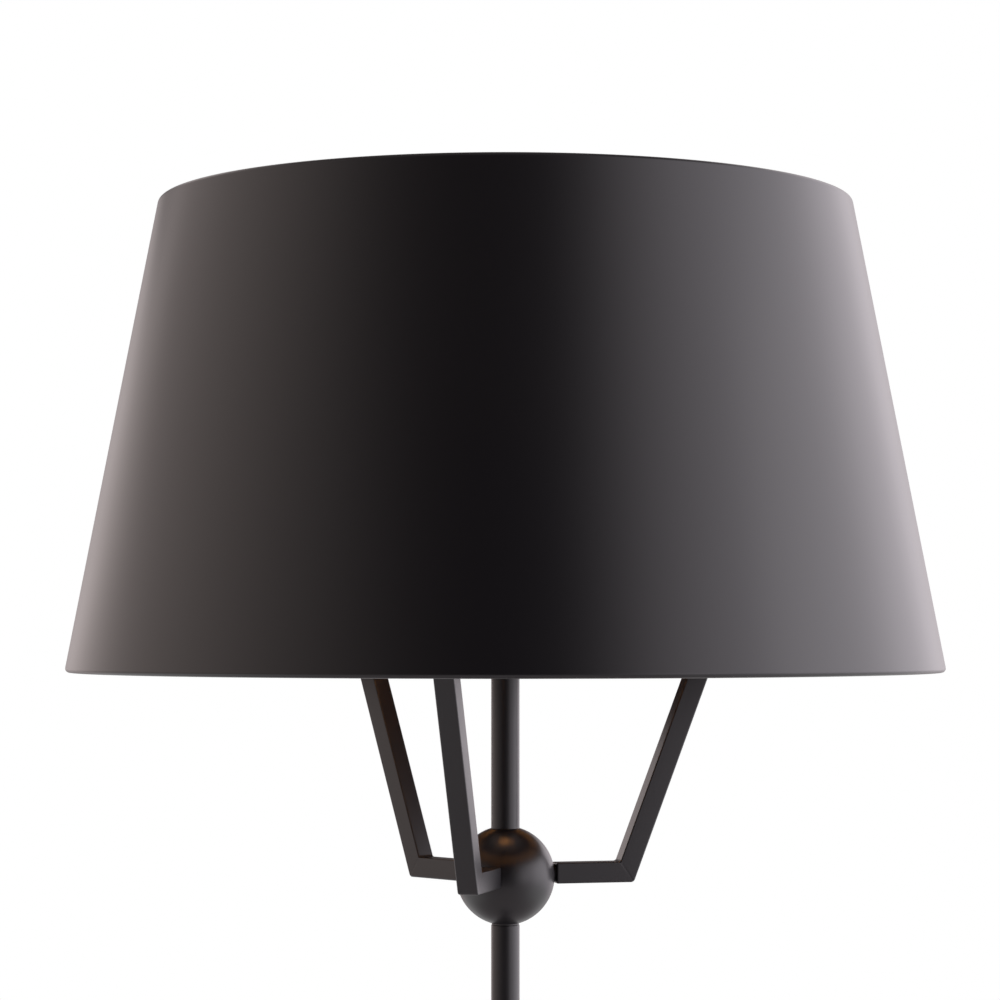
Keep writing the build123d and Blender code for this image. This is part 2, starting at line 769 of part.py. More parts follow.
# The glass is a ball whose underside sweeps down into the neck along one arc
glass_r = glass_d / 2
neck_r = glass_neck_d / 2
shoulder = radians(glass_shoulder)
sweep_r = (glass_r * cos(shoulder) - neck_r) / (1 - cos(shoulder))
neck_foot = glass_foot - glass_neck
globe_z = glass_foot + glass_neck + (glass_r + sweep_r) * sin(shoulder)
with BuildPart() as bulb_glass:
    with BuildSketch(Plane.XZ):
        with BuildLine():
            Line((0, globe_z + glass_r), (0, neck_foot))
            Line((0, neck_foot), (neck_r, neck_foot))
            neck_side = Line((neck_r, neck_foot), (neck_r, glass_foot + glass_neck))
            shoulder_point = (glass_r * cos(shoulder), globe_z - glass_r * sin(shoulder))
            RadiusArc(neck_side @ 1, shoulder_point, sweep_r)
            ThreePointArc(shoulder_point, (glass_r, globe_z), (0, globe_z + glass_r))
        make_face()
    revolve(axis=Axis.Z)
    offset(amount=-glass_wall, openings=bulb_glass.faces().sort_by(Axis.Z)[0])
bulb_glass.part.label = "bulb_glass"
export_step(bulb_glass.part, "parts/bulb_glass.step")
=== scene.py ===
import math

import bpy
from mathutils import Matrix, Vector


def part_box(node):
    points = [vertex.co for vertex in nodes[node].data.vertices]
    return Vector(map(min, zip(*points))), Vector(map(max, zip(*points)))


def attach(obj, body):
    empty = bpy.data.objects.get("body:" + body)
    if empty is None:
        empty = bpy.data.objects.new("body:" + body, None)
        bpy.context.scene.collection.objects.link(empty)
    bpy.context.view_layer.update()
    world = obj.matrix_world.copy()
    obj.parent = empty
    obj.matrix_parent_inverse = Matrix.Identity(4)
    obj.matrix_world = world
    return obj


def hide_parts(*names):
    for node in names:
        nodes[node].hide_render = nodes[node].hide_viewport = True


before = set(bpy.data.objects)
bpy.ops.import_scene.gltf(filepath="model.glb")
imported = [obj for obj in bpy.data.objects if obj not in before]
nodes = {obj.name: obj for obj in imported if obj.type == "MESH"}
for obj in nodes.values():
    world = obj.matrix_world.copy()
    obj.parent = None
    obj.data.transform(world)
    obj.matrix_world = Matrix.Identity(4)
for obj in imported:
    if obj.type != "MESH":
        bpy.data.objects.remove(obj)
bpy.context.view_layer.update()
bpy.context.scene.view_settings.view_transform = "Standard"
mm = 0.001
print("frame loaded:", len(nodes), "nodes")


# Camera, at the height and distance that the photograph was taken from
cameraSet = {
    "turn": 14.05,          # degrees from straight behind, so that the first arm points a little away
    "aim": 13.948,          # where it looks, a hair left of the stem
    "tilt": 2.433,
    "distance": 1.747,
    "height": 1.3536,
    "lens": 108.0,
}
turned = math.radians(cameraSet["turn"])
lookDir = Vector((math.sin(turned), math.cos(turned), 0))
rightDir = Vector((math.cos(turned), -math.sin(turned), 0))
bpy.ops.object.select_all(action="DESELECT")
bpy.ops.object.camera_add(
    location=-cameraSet["distance"] * lookDir + Vector((0, 0, cameraSet["height"])),
    rotation=(math.radians(90 + cameraSet["tilt"]), 0, -math.radians(cameraSet["aim"])),
)
camera = bpy.context.object
camera.name = "photoCamera"
camera.data.lens = cameraSet["lens"]
camera.data.sensor_width = 36
camera.data.clip_start = 0.05
camera.data.clip_end = 60
bpy.context.scene.camera = camera


# Small helpers for modelling

def deselectAll():
    bpy.ops.object.select_all(action="DESELECT")


def makeActive(piece):
    deselectAll()
    piece.select_set(True)
    bpy.context.view_layer.objects.active = piece


# points of an arc in an outline, as (radius, height), angles in degrees
def arc(middle, radius, start, end, steps):
    points = []
    for n in range(steps + 1):
        angle = math.radians(start + (end - start) * n / steps)
        points.append((middle[0] + radius * math.cos(angle), middle[1] + radius * math.sin(angle)))
    return points


# a run of even steps from one point of an outline to the next, without the first
def steps(first, last, count):
    return [
        (first[0] + (last[0] - first[0]) * n / count, first[1] + (last[1] - first[1]) * n / count)
        for n in range(1, count + 1)
    ]


# turns an outline of (radius, height) points in mm into a round piece, ring by ring
def turn(name, outline, sides, solid=False):
    deselectAll()
    radius, height = outline[0]
    bpy.ops.mesh.primitive_circle_add(
        vertices=sides, radius=radius * mm, location=(0, 0, height * mm),
        fill_type="NGON" if solid else "NOTHING",
    )
    piece = bpy.context.object
    piece.name = piece.data.name = name
    bpy.ops.object.transform_apply(location=True, rotation=False, scale=False)
    bpy.ops.object.mode_set(mode="EDIT")
    bpy.ops.mesh.select_all(action="SELECT")
    for (radius, height), (nextRadius, nextHeight) in zip(outline, outline[1:]):
        bpy.ops.mesh.extrude_region_move(
            TRANSFORM_OT_translate={"value": (0, 0, (nextHeight - height) * mm)}
        )
        grow = nextRadius / radius
        bpy.ops.transform.resize(value=(grow, grow, 1), center_override=(0, 0, nextHeight * mm))
    bpy.ops.mesh.select_all(action="SELECT")
    bpy.ops.mesh.remove_doubles(threshold=0.000008)
    bpy.ops.mesh.normals_make_consistent(inside=False)
    bpy.ops.object.mode_set(mode="OBJECT")
    return piece


# selects the corners that pass a test, and leaves the piece in edit mode
def pickCorners(piece, test):
    bpy.ops.object.mode_set(mode="OBJECT")
    mesh = piece.data
    for part in (mesh.polygons, mesh.edges):
        part.foreach_set("select", [False] * len(part))
    mesh.vertices.foreach_set("select", [bool(test(v.co)) for v in mesh.vertices])
    bpy.ops.object.mode_set(mode="EDIT")
    bpy.ops.mesh.select_mode(type="VERT")


# a plain round bar that only cuts other pieces
def cutterBar(radius, middle, length, rotation=(0, 0, 0), sides=48):
    deselectAll()
    bpy.ops.mesh.primitive_cylinder_add(
        vertices=sides, radius=radius * mm, depth=length * mm,
        location=[m * mm for m in middle], rotation=rotation,
    )
    bar = bpy.context.object
    bpy.ops.object.transform_apply(location=True, rotation=True, scale=True)
    return bar


def cutAway(piece, cutter):
    makeActive(piece)
    cut = piece.modifiers.new("cut", "BOOLEAN")
    cut.object = cutter
    cut.operation = "DIFFERENCE"
    cut.solver = "EXACT"
    bpy.ops.object.modifier_apply(modifier="cut")
    bpy.data.objects.remove(cutter)


def bevelEdges(piece, width, segments, angle=30):
    makeActive(piece)
    bevel = piece.modifiers.new("bevel", "BEVEL")
    bevel.width = width * mm
    bevel.segments = segments
    bevel.limit_method = "ANGLE"
    bevel.angle_limit = math.radians(angle)
    bevel.miter_outer = "MITER_ARC"
    bpy.ops.object.modifier_apply(modifier="bevel")


# smooth shading up to an angle, with the large faces left flat
def smoothPiece(piece, angle=38):
    makeActive(piece)
    bpy.ops.object.shade_smooth_by_angle(angle=math.radians(angle))
    flat = piece.modifiers.new("flat", "WEIGHTED_NORMAL")
    flat.keep_sharp = True
    flat.weight = 70
    bpy.ops.object.modifier_apply(modifier="flat")


def finishPiece(piece, body, slot, material, *replaced, angle=38):
    smoothPiece(piece, angle)
    piece.data.materials.clear()
    piece.data.materials.append(material)
    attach(piece, body)
    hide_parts(*replaced)


def turnAbout(piece, rotation):
    makeActive(piece)
    piece.rotation_euler = rotation
    bpy.ops.object.transform_apply(location=False, rotation=True, scale=False)


def copyPiece(piece, name):
    twin = piece.copy()
    twin.data = piece.data.copy()
    twin.name = twin.data.name = name
    bpy.context.scene.collection.objects.link(twin)
    return twin


# Shader groups for what more than one finish shows

def newGroup(name, inputs, outputs):
    group = bpy.data.node_groups.new(name, "ShaderNodeTree")
    for label, kind, value in inputs:
        socket = group.interface.new_socket(label, in_out="INPUT", socket_type=kind)
        socket.default_value = value
    for label, kind in outputs:
        group.interface.new_socket(label, in_out="OUTPUT", socket_type=kind)
    return group, group.nodes.new("NodeGroupInput"), group.nodes.new("NodeGroupOutput")


def addNode(tree, kind, **settings):
    node = tree.nodes.new(kind)
    for label, value in settings.items():
        setattr(node, label, value)
    return node


def addNoise(tree, where, detail, scale=None):
    noise = addNode(tree, "ShaderNodeTexNoise")
    noise.inputs["Detail"].default_value = detail
    tree.links.new(where, noise.inputs["Vector"])
    if scale is not None:
        noise.inputs["Scale"].default_value = scale
    return noise


def addMath(tree, operation, first, second):
    node = addNode(tree, "ShaderNodeMath", operation=operation)
    for socket, value in zip(node.inputs, (first, second)):
        if isinstance(value, (int, float)):
            socket.default_value = value
        else:
            tree.links.new(value, socket)
    return node.outputs[0]


def addSpread(tree, value, low, high):
    node = addNode(tree, "ShaderNodeMapRange", interpolation_type="SMOOTHSTEP")
    tree.links.new(value, node.inputs["Value"])
    node.inputs["From Min"].default_value = 0.25
    node.inputs["From Max"].default_value = 0.75
    for label, level in (("To Min", low), ("To Max", high)):
        if isinstance(level, (int, float)):
            node.inputs[label].default_value = level
        else:
            tree.links.new(level, node.inputs[label])
    return node.outputs["Result"]


# a colour mix: the node's colour sockets come after its number and vector ones
def addBlend(tree, share, first, second, way="MIX"):
    node = addNode(tree, "ShaderNodeMix", data_type="RGBA", blend_type=way)
    for socket, value in ((node.inputs[0], share), (node.inputs[6], first), (node.inputs[7], second)):
        if isinstance(value, (int, float, tuple)):
            socket.default_value = value
        else:
            tree.links.new(value, socket)
    return node.outputs[2]


colorSocket, floatSocket = "NodeSocketColor", "NodeSocketFloat"


# two colours in soft patches, an uneven gloss and a fine raised grain: paint, plastic, rubber, card and castings
def makePatchGroup():
    group, given, out = newGroup(
        "patchedFinish",
        [
            ("Color", colorSocket, (0.5, 0.5, 0.5, 1)),
            ("Patch Color", colorSocket, (0.5, 0.5, 0.5, 1)),
            ("Patch Scale", floatSocket, 8.0),
            ("Grain Scale", floatSocket, 600.0),
            ("Roughness Low", floatSocket, 0.3),
            ("Roughness High", floatSocket, 0.4),
        ],
        [("Color", colorSocket), ("Roughness", floatSocket), ("Height", floatSocket)],
    )
    place = addNode(group, "ShaderNodeTexCoord").outputs["Object"]
    patches = addNoise(group, place, 2)
    group.links.new(given.outputs["Patch Scale"], patches.inputs["Scale"])
    grain = addNoise(group, place, 1)
    group.links.new(given.outputs["Grain Scale"], grain.inputs["Scale"])
    share = addSpread(group, patches.outputs["Fac"], 0.0, 1.0)
    group.links.new(
        addBlend(group, share, given.outputs["Color"], given.outputs["Patch Color"]),
        out.inputs["Color"],
    )
    smudges = addNoise(group, place, 1)
    group.links.new(addMath(group, "MULTIPLY", given.outputs["Patch Scale"], 1.7), smudges.inputs["Scale"])
    rough = addSpread(
        group, smudges.outputs["Fac"], given.outputs["Roughness Low"], given.outputs["Roughness High"]
    )
    group.links.new(rough, out.inputs["Roughness"])
    group.links.new(grain.outputs["Fac"], out.inputs["Height"])
    return group


# drawn or turned metal: streaks along one way, and a tarnish in patches
def makeMetalGroup():
    group, given, out = newGroup(
        "drawnMetal",
        [
            ("Color", colorSocket, (0.6, 0.6, 0.6, 1)),
            ("Tarnish Color", colorSocket, (0.4, 0.4, 0.4, 1)),
            ("Tarnish Scale", floatSocket, 90.0),
            ("Streak Scale", floatSocket, 4000.0),
            ("Roughness Low", floatSocket, 0.2),
            ("Roughness High", floatSocket, 0.4),
        ],
        [("Color", colorSocket), ("Roughness", floatSocket), ("Height", floatSocket)],
    )
    place = addNode(group, "ShaderNodeTexCoord").outputs["Object"]
    squeeze = addNode(group, "ShaderNodeMapping")
    squeeze.inputs["Scale"].default_value = (0.06, 0.06, 1.0)
    group.links.new(place, squeeze.inputs["Vector"])
    streaks = addNoise(group, squeeze.outputs["Vector"], 3)
    group.links.new(given.outputs["Streak Scale"], streaks.inputs["Scale"])
    tarnish = addNoise(group, place, 6)
    group.links.new(given.outputs["Tarnish Scale"], tarnish.inputs["Scale"])
    share = addSpread(group, tarnish.outputs["Fac"], 0.0, 1.0)
    group.links.new(
        addBlend(group, share, given.outputs["Color"], given.outputs["Tarnish Color"]),
        out.inputs["Color"],
    )
    rough = addSpread(
        group, streaks.outputs["Fac"], given.outputs["Roughness Low"], given.outputs["Roughness High"]
    )
    group.links.new(rough, out.inputs["Roughness"])
    group.links.new(streaks.outputs["Fac"], out.inputs["Height"])
    return group


# pressed fibres: crossing hairs of two tones
def makeFibreGroup():
    group, given, out = newGroup(
        "pressedFibres",
        [
            ("Color", colorSocket, (0.1, 0.1, 0.1, 1)),
            ("Hair Color", colorSocket, (0.2, 0.2, 0.2, 1)),
            ("Hair Scale", floatSocket, 900.0),
        ],
        [("Color", colorSocket), ("Height", floatSocket)],
    )
    place = addNode(group, "ShaderNodeTexCoord").outputs["Object"]
    heights = []
    for stretch in ((1.0, 0.18, 1.0), (0.2, 1.0, 1.0)):
        comb = addNode(group, "ShaderNodeMapping")
        comb.inputs["Scale"].default_value = stretch
        comb.inputs["Rotation"].default_value = (0, 0, 0.6)
        group.links.new(place, comb.inputs["Vector"])
        hairs = addNoise(group, comb.outputs["Vector"], 3)
        hairs.inputs["Distortion"].default_value = 1.2
        group.links.new(given.outputs["Hair Scale"], hairs.inputs["Scale"])
        heights.append(hairs.outputs["Fac"])
    pile = addMath(group, "MAXIMUM", *heights)
    share = addSpread(group, pile, 0.0, 1.0)
    group.links.new(
        addBlend(group, share, given.outputs["Color"], given.outputs["Hair Color"]), out.inputs["Color"]
    )
    group.links.new(pile, out.inputs["Height"])
    return group


patchedFinish = makePatchGroup()
drawnMetal = makeMetalGroup()
pressedFibres = makeFibreGroup()


# one material from a group: values for the group, and plain values for the shader itself
def makeMaterial(name, group, groupValues, shaderValues, bump):
    material = bpy.data.materials.new(name)
    material.use_nodes = True
    tree = material.node_tree
    shader = tree.nodes["Principled BSDF"]
    effect = addNode(tree, "ShaderNodeGroup", node_tree=group)
    for label, value in groupValues.items():
        effect.inputs[label].default_value = (*value, 1) if isinstance(value, tuple) else value
    for label, value in shaderValues.items():
        shader.inputs[label].default_value = (*value, 1) if isinstance(value, tuple) else value
    tree.links.new(effect.outputs["Color"], shader.inputs["Base Color"])
    if "Roughness" in effect.outputs:
        tree.links.new(effect.outputs["Roughness"], shader.inputs["Roughness"])
    relief = addNode(tree, "ShaderNodeBump")
    relief.inputs["Strength"].default_value = bump[0]
    relief.inputs["Distance"].default_value = bump[1] * mm
    tree.links.new(effect.outputs["Height"], relief.inputs["Height"])
    tree.links.new(relief.outputs["Normal"], shader.inputs["Normal"])
    return material


bronze, bronzeWarm = (0.0072, 0.0062, 0.0093), (0.0083, 0.0070, 0.0095)
paintShader = {"Metallic": 0.0, "Specular IOR Level": 1.0}
finishes = {
    "painted_metal_shade": makeMaterial(
        "satinBronzeShade", patchedFinish,
        {"Color": bronze, "Patch Color": bronzeWarm, "Patch Scale": 6.0, "Grain Scale": 900.0,
         "Roughness Low": 0.276, "Roughness High": 0.29},
        paintShader, (0.03, 0.04),
    ),
    "painted_metal_frame": makeMaterial(
        "satinBronzeFrame", patchedFinish,
        {"Color": bronze, "Patch Color": bronzeWarm, "Patch Scale": 18.0, "Grain Scale": 1100.0,
         "Roughness Low": 0.32, "Roughness High": 0.345},
        paintShader, (0.06, 0.05),
    ),
    "painted_metal_base": makeMaterial(
        "satinBronzeBase", patchedFinish,
        {"Color": bronze, "Patch Color": bronzeWarm, "Patch Scale": 9.0, "Grain Scale": 1000.0,
         "Roughness Low": 0.29, "Roughness High": 0.32},
        paintShader, (0.06, 0.05),
    ),
    # the arm spacers' fibre, near-black and dull: painted shade, so that the gap between ball and bars reads as
    # a shadow line
    "black_washer": makeMaterial(
        "shadowBlackFibre", patchedFinish,
        {"Color": (0.005, 0.005, 0.005), "Patch Color": (0.008, 0.007, 0.007), "Patch Scale": 200.0,
         "Grain Scale": 2400.0, "Roughness Low": 0.75, "Roughness High": 0.9},
        {"Metallic": 0.0, "Specular IOR Level": 0.25}, (0.3, 0.04),
    ),
    # the neck washer's fibre, lighter than black: painted light, so that the shaded neck under the ball reads
    # less dark
    "painted_light_washer": makeMaterial(
        "paintedLightFibre", patchedFinish,
        {"Color": (0.022, 0.021, 0.022), "Patch Color": (0.030, 0.028, 0.029), "Patch Scale": 200.0,
         "Grain Scale": 2400.0, "Roughness Low": 0.42, "Roughness High": 0.5},
        {"Metallic": 0.0, "Specular IOR Level": 1.0}, (0.1, 0.02),
    ),
    "cast_weight": makeMaterial(
        "roughCasting", patchedFinish,
        {"Color": (0.075, 0.073, 0.070), "Patch Color": (0.12, 0.095, 0.075), "Patch Scale": 30.0,
         "Grain Scale": 480.0, "Roughness Low": 0.55, "Roughness High": 0.8},
        {"Metallic": 0.6}, (0.9, 0.6),
    ),
    "rubber": makeMaterial(
        "blackRubber", patchedFinish,
        {"Color": (0.016, 0.016, 0.017), "Patch Color": (0.026, 0.025, 0.025), "Patch Scale": 160.0,
         "Grain Scale": 2600.0, "Roughness Low": 0.6, "Roughness High": 0.75},
        {"Metallic": 0.0}, (0.4, 0.04),
    ),
    "core_plastic": makeMaterial(
        "phenolicCore", patchedFinish,
        {"Color": (0.028, 0.021, 0.017), "Patch Color": (0.045, 0.031, 0.022), "Patch Scale": 220.0,
         "Grain Scale": 3000.0, "Roughness Low": 0.45, "Roughness High": 0.6},
        {"Metallic": 0.0}, (0.3, 0.03),
    ),
    "key_plastic": makeMaterial(
        "phenolicKey", patchedFinish,
        {"Color": (0.016, 0.013, 0.011), "Patch Color": (0.027, 0.019, 0.014), "Patch Scale": 300.0,
         "Grain Scale": 2400.0, "Roughness Low": 0.16, "Roughness High": 0.26},
        {"Metallic": 0.0}, (0.1, 0.02),
    ),
    "bulb_black_glass": makeMaterial(
        "fusedGlass", patchedFinish,
        {"Color": (0.012, 0.012, 0.020), "Patch Color": (0.03, 0.03, 0.045), "Patch Scale": 260.0,
         "Grain Scale": 900.0, "Roughness Low": 0.06, "Roughness High": 0.16},
        {"Metallic": 0.0}, (0.2, 0.05),
    ),
    "plated_steel": makeMaterial(
        "zincPlate", drawnMetal,
        {"Color": (0.58, 0.59, 0.61), "Tarnish Color": (0.46, 0.45, 0.42), "Tarnish Scale": 120.0,
         "Streak Scale": 7000.0, "Roughness Low": 0.28, "Roughness High": 0.4},
        {"Metallic": 1.0}, (0.1, 0.015),
    ),
    "holder_brass": makeMaterial(
        "satinBrass", drawnMetal,
        {"Color": (0.62, 0.44, 0.19), "Tarnish Color": (0.52, 0.35, 0.145), "Tarnish Scale": 70.0,
         "Streak Scale": 9000.0, "Roughness Low": 0.28, "Roughness High": 0.335},
        {"Metallic": 1.0}, (0.06, 0.01),
    ),
    "spindle_brass": makeMaterial(
        "drawnBrass", drawnMetal,
        {"Color": (0.66, 0.49, 0.23), "Tarnish Color": (0.5, 0.34, 0.15), "Tarnish Scale": 260.0,
         "Streak Scale": 9000.0, "Roughness Low": 0.28, "Roughness High": 0.34},
        {"Metallic": 1.0}, (0.1, 0.01),
    ),
    "bulb_aluminium": makeMaterial(
        "rolledAluminium", drawnMetal,
        {"Color": (0.78, 0.78, 0.79), "Tarnish Color": (0.62, 0.62, 0.61), "Tarnish Scale": 200.0,
         "Streak Scale": 8000.0, "Roughness Low": 0.28, "Roughness High": 0.36},
        {"Metallic": 1.0}, (0.1, 0.015),
    ),
    "felt": makeMaterial(
        "darkFelt", pressedFibres,
        {"Color": (0.018, 0.018, 0.019), "Hair Color": (0.075, 0.073, 0.07), "Hair Scale": 1100.0},
        {"Roughness": 0.95, "Sheen Weight": 0.35, "Sheen Roughness": 0.5}, (0.9, 0.25),
    ),
    "liner_card": makeMaterial(
        "pressedBoard", pressedFibres,
        {"Color": (0.30, 0.25, 0.19), "Hair Color": (0.42, 0.36, 0.28), "Hair Scale": 1500.0},
        {"Roughness": 0.8}, (0.5, 0.06),
    ),
    "bulb_glass": makeMaterial(
        "opalGlass", patchedFinish,
        {"Color": (0.80, 0.77, 0.72), "Patch Color": (0.84, 0.81, 0.76), "Patch Scale": 40.0,
         "Grain Scale": 700.0, "Roughness Low": 0.16, "Roughness High": 0.24},
        {"Emission Color": (1.0, 0.42, 0.12)}, (0.05, 0.05),
    ),
}


# the lit bulb: the eye gets less of it than the lamp's metal does, so that it keeps its colour
bulbLight = {"seen": 1.0, "thrown": 24.0}
glowTree = finishes["bulb_glass"].node_tree
glowShader = glowTree.nodes["Principled BSDF"]
glowShader.inputs["Emission Strength"].default_value = bulbLight["seen"]
glowSeen = addNode(glowTree, "ShaderNodeLightPath").outputs["Is Camera Ray"]
glowRange = addNode(glowTree, "ShaderNodeMapRange")
glowRange.inputs["To Min"].default_value = bulbLight["thrown"]
glowRange.inputs["To Max"].default_value = bulbLight["seen"]
glowTree.links.new(glowSeen, glowRange.inputs["Value"])
glowTree.links.new(glowRange.outputs["Result"], glowShader.inputs["Emission Strength"])
print("finishes made:", len(finishes))


# The shade: a spun cone with a wired edge rolled inwards at both rims
shadeSizes = {
    "footRadius": 253.86, "topRadius": 201.86, "foot": 1328.0, "height": 271.99,
    "wall": 1.0, "wire": 2.3, "curlSteps": 22, "sides": 288, "curlEnd": 1.0, "curlGap": 0.35,
}


def makeShade():
    s = shadeSizes
    taper = (s["footRadius"] - s["topRadius"]) / s["height"]
    lean = math.degrees(math.atan(taper))
    across = math.hypot(1, taper)
    outward = Vector((math.cos(math.radians(lean)), math.sin(math.radians(lean))))
    upward = Vector((-outward.y, outward.x))

    def wireMiddle(height):
        return Vector((s["footRadius"] - taper * (height - s["foot"]) - s["wire"] * across, height))

    low = wireMiddle(s["foot"] + s["wire"])
    high = wireMiddle(s["foot"] + s["height"] - s["wire"])
    inside = s["wire"] - s["wall"]
    # where the curl comes back to the wall: the sheet's cut end, then the crease beside it
    reach = math.sqrt(s["wire"] ** 2 - (inside - s["curlGap"]) ** 2)
    endAngle = math.degrees(math.atan2(reach, inside - s["curlGap"]))
    outline = arc(low, s["wire"], lean, lean - 360 + endAngle + 14, s["curlSteps"])
    tip = Vector(outline[-1])
    inwards = (low - tip).normalized()
    outline.append(tuple(tip + inwards * s["curlEnd"]))
    outline.append(tuple(low + outward * inside + upward * (s["wire"] * 0.62)))
    outline.append(tuple(low + outward * inside + upward * (s["wire"] * 1.1)))
    outline.append(tuple(high + outward * inside - upward * (s["wire"] * 1.1)))
    outline.append(tuple(high + outward * inside - upward * (s["wire"] * 0.62)))
    topCurl = arc(high, s["wire"], lean + 360 - endAngle - 14, lean, s["curlSteps"])
    tip = Vector(topCurl[0])
    outline.append(tuple(tip + (high - tip).normalized() * s["curlEnd"]))
    outline += topCurl
    outline.append(outline[0])
    return turn("shadeShell", outline, s["sides"])


shadeShell = makeShade()
finishPiece(shadeShell, "lamp", "painted_metal_shade", finishes["painted_metal_shade"], "shade", angle=50)
print("shade made")


# The arms: square bar cut to a mitre, turned up at the elbow and cut level under the ring
armSizes = {
    "bar": 12.0, "start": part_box("arm_1")[0][0] / mm, "elbow": 72.0, "middle": 1211.0, "endRadius": 198.232, "top": 1540.0,
    "edge": 0.9, "edgeSteps": 3, "throat": 1.3, "heel": 1.7, "turnSteps": 5, "seam": 1.1, "seamDeep": 0.1,
}


def makeArm():
    s = armSizes
    up = Vector((s["endRadius"] - s["elbow"], 0, s["top"] - s["middle"])).normalized()
    mitre = (Vector((1, 0, 0)) + up).normalized()
    elbow = Vector((s["elbow"], 0, s["middle"])) * mm
    deselectAll()
    bpy.ops.mesh.primitive_plane_add(
        size=s["bar"] * mm, location=(s["start"] * mm, 0, s["middle"] * mm), rotation=(0, math.pi / 2, 0)
    )
    arm = bpy.context.object
    arm.name = arm.data.name = "armOne"
    bpy.ops.object.transform_apply(location=True, rotation=True, scale=True)
    bpy.ops.object.mode_set(mode="EDIT")
    bpy.ops.mesh.select_all(action="SELECT")
    bpy.ops.mesh.extrude_region_move(
        TRANSFORM_OT_translate={"value": ((s["elbow"] - s["start"] + s["bar"]) * mm, 0, 0)}
    )
    bpy.ops.mesh.select_all(action="SELECT")
    bpy.ops.mesh.bisect(plane_co=elbow, plane_no=mitre, use_fill=True, clear_outer=True)
    pickCorners(arm, lambda co: abs((co - elbow).dot(mitre)) < 0.01 * mm)
    rise = (s["top"] + s["bar"] - s["middle"]) / up.z
    bpy.ops.mesh.extrude_region_move(TRANSFORM_OT_translate={"value": up * rise * mm})
    bpy.ops.mesh.select_all(action="SELECT")
    bpy.ops.mesh.bisect(
        plane_co=(0, 0, s["top"] * mm), plane_no=(0, 0, 1), use_fill=True, clear_outer=True
    )
    bpy.ops.mesh.select_all(action="SELECT")
    bpy.ops.mesh.normals_make_consistent(inside=False)
    bpy.ops.object.mode_set(mode="OBJECT")
    # the elbow's throat and heel are rounded before the long edges are
    inwards = mitre.cross(Vector((0, 1, 0)))
    for corner, way in (("throat", inwards), ("heel", -inwards)):
        pickCorners(arm, lambda co: abs((co - elbow).dot(mitre)) < 0.01 * mm and (co - elbow).dot(way) > 0)
        bpy.ops.mesh.bevel(offset=s[corner] * mm, segments=s["turnSteps"], affect="EDGES")
        bpy.ops.object.mode_set(mode="OBJECT")
    bevelEdges(arm, s["edge"], s["edgeSteps"])
    # the weld: ground back to a shallow crease round the mitre
    bpy.ops.object.mode_set(mode="EDIT")
    for side in (-1, 0, 1):
        bpy.ops.mesh.select_all(action="SELECT")
        bpy.ops.mesh.bisect(plane_co=elbow + mitre * side * s["seam"] * mm, plane_no=mitre)
    pickCorners(arm, lambda co: abs((co - elbow).dot(mitre)) < 0.02 * mm)
    bpy.ops.transform.shrink_fatten(value=-s["seamDeep"] * mm)
    bpy.ops.object.mode_set(mode="OBJECT")
    return arm


armOne = makeArm()
armTwo = copyPiece(armOne, "armTwo")
armThree = copyPiece(armOne, "armThree")
turnAbout(armTwo, (0, 0, math.radians(120)))
turnAbout(armThree, (0, 0, math.radians(240)))
for number, arm in enumerate((armOne, armTwo, armThree), 1):
    finishPiece(
        arm, "lamp", "painted_metal_frame", finishes["painted_metal_frame"], f"arm_{number}", angle=32
    )
print("arms made")


# The ball: a turned sphere with a flat below and a fine recess round the tube above
ballSizes = {
    "radius": 28.575, "middle": 1210.0, "segments": 128, "rings": 96, "flatEdge": 0.35,
    "flat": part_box("ball_neck")[1][2] / mm,
    "recessTop": 1237.27, "recessFloor": 1236.6, "recessInner": 8.2,
}


def makeBall():
    s = ballSizes
    deselectAll()
    bpy.ops.mesh.primitive_uv_sphere_add(
        segments=s["segments"], ring_count=s["rings"], radius=s["radius"] * mm,
        location=(0, 0, s["middle"] * mm),
    )
    ball = bpy.context.object
    ball.name = ball.data.name = "hubBall"
    bpy.ops.object.transform_apply(location=True, rotation=False, scale=False)
    bpy.ops.object.mode_set(mode="EDIT")
    bpy.ops.mesh.select_all(action="SELECT")
    bpy.ops.mesh.bisect(
        plane_co=(0, 0, s["flat"] * mm), plane_no=(0, 0, -1), use_fill=True, clear_outer=True
    )
    pickCorners(ball, lambda co: abs(co.z - s["flat"] * mm) < 0.002 * mm)
    bpy.ops.mesh.bevel(offset=s["flatEdge"] * mm, segments=2, affect="EDGES")
    bpy.ops.mesh.select_all(action="SELECT")
    bpy.ops.mesh.bisect(
        plane_co=(0, 0, s["recessTop"] * mm), plane_no=(0, 0, 1), clear_outer=True, threshold=0.000001
    )
    pickCorners(ball, lambda co: abs(co.z - s["recessTop"] * mm) < 0.002 * mm)
    rim = math.sqrt(s["radius"] ** 2 - (s["recessTop"] - s["middle"]) ** 2)
    bpy.ops.mesh.extrude_region_move(
        TRANSFORM_OT_translate={"value": (0, 0, (s["recessFloor"] - s["recessTop"]) * mm)}
    )
    bpy.ops.mesh.extrude_region_move(TRANSFORM_OT_translate={"value": (0, 0, 0)})
    inward = s["recessInner"] / rim
    bpy.ops.transform.resize(value=(inward, inward, 1), center_override=(0, 0, s["recessFloor"] * mm))
    bpy.ops.mesh.edge_face_add()
    bpy.ops.mesh.select_all(action="SELECT")
    bpy.ops.mesh.normals_make_consistent(inside=False)
    bpy.ops.object.mode_set(mode="OBJECT")
    return ball


hubBall = makeBall()
finishPiece(hubBall, "lamp", "painted_metal_frame", finishes["painted_metal_frame"], "hub_ball")
print("ball made")


# The stem's tubes, with a rounded edge at each end
tubeSizes = {"radius": 8.25, "bore": 6.75, "edge": 0.6, "edgeSteps": 3, "sides": 96}
tubeNodes = {
    "stemLower": "stem_tube_lower", "stemMiddle": "stem_tube_middle", "stemTop": "stem_tube_top",
    "holderTube": "holder_tube",
}


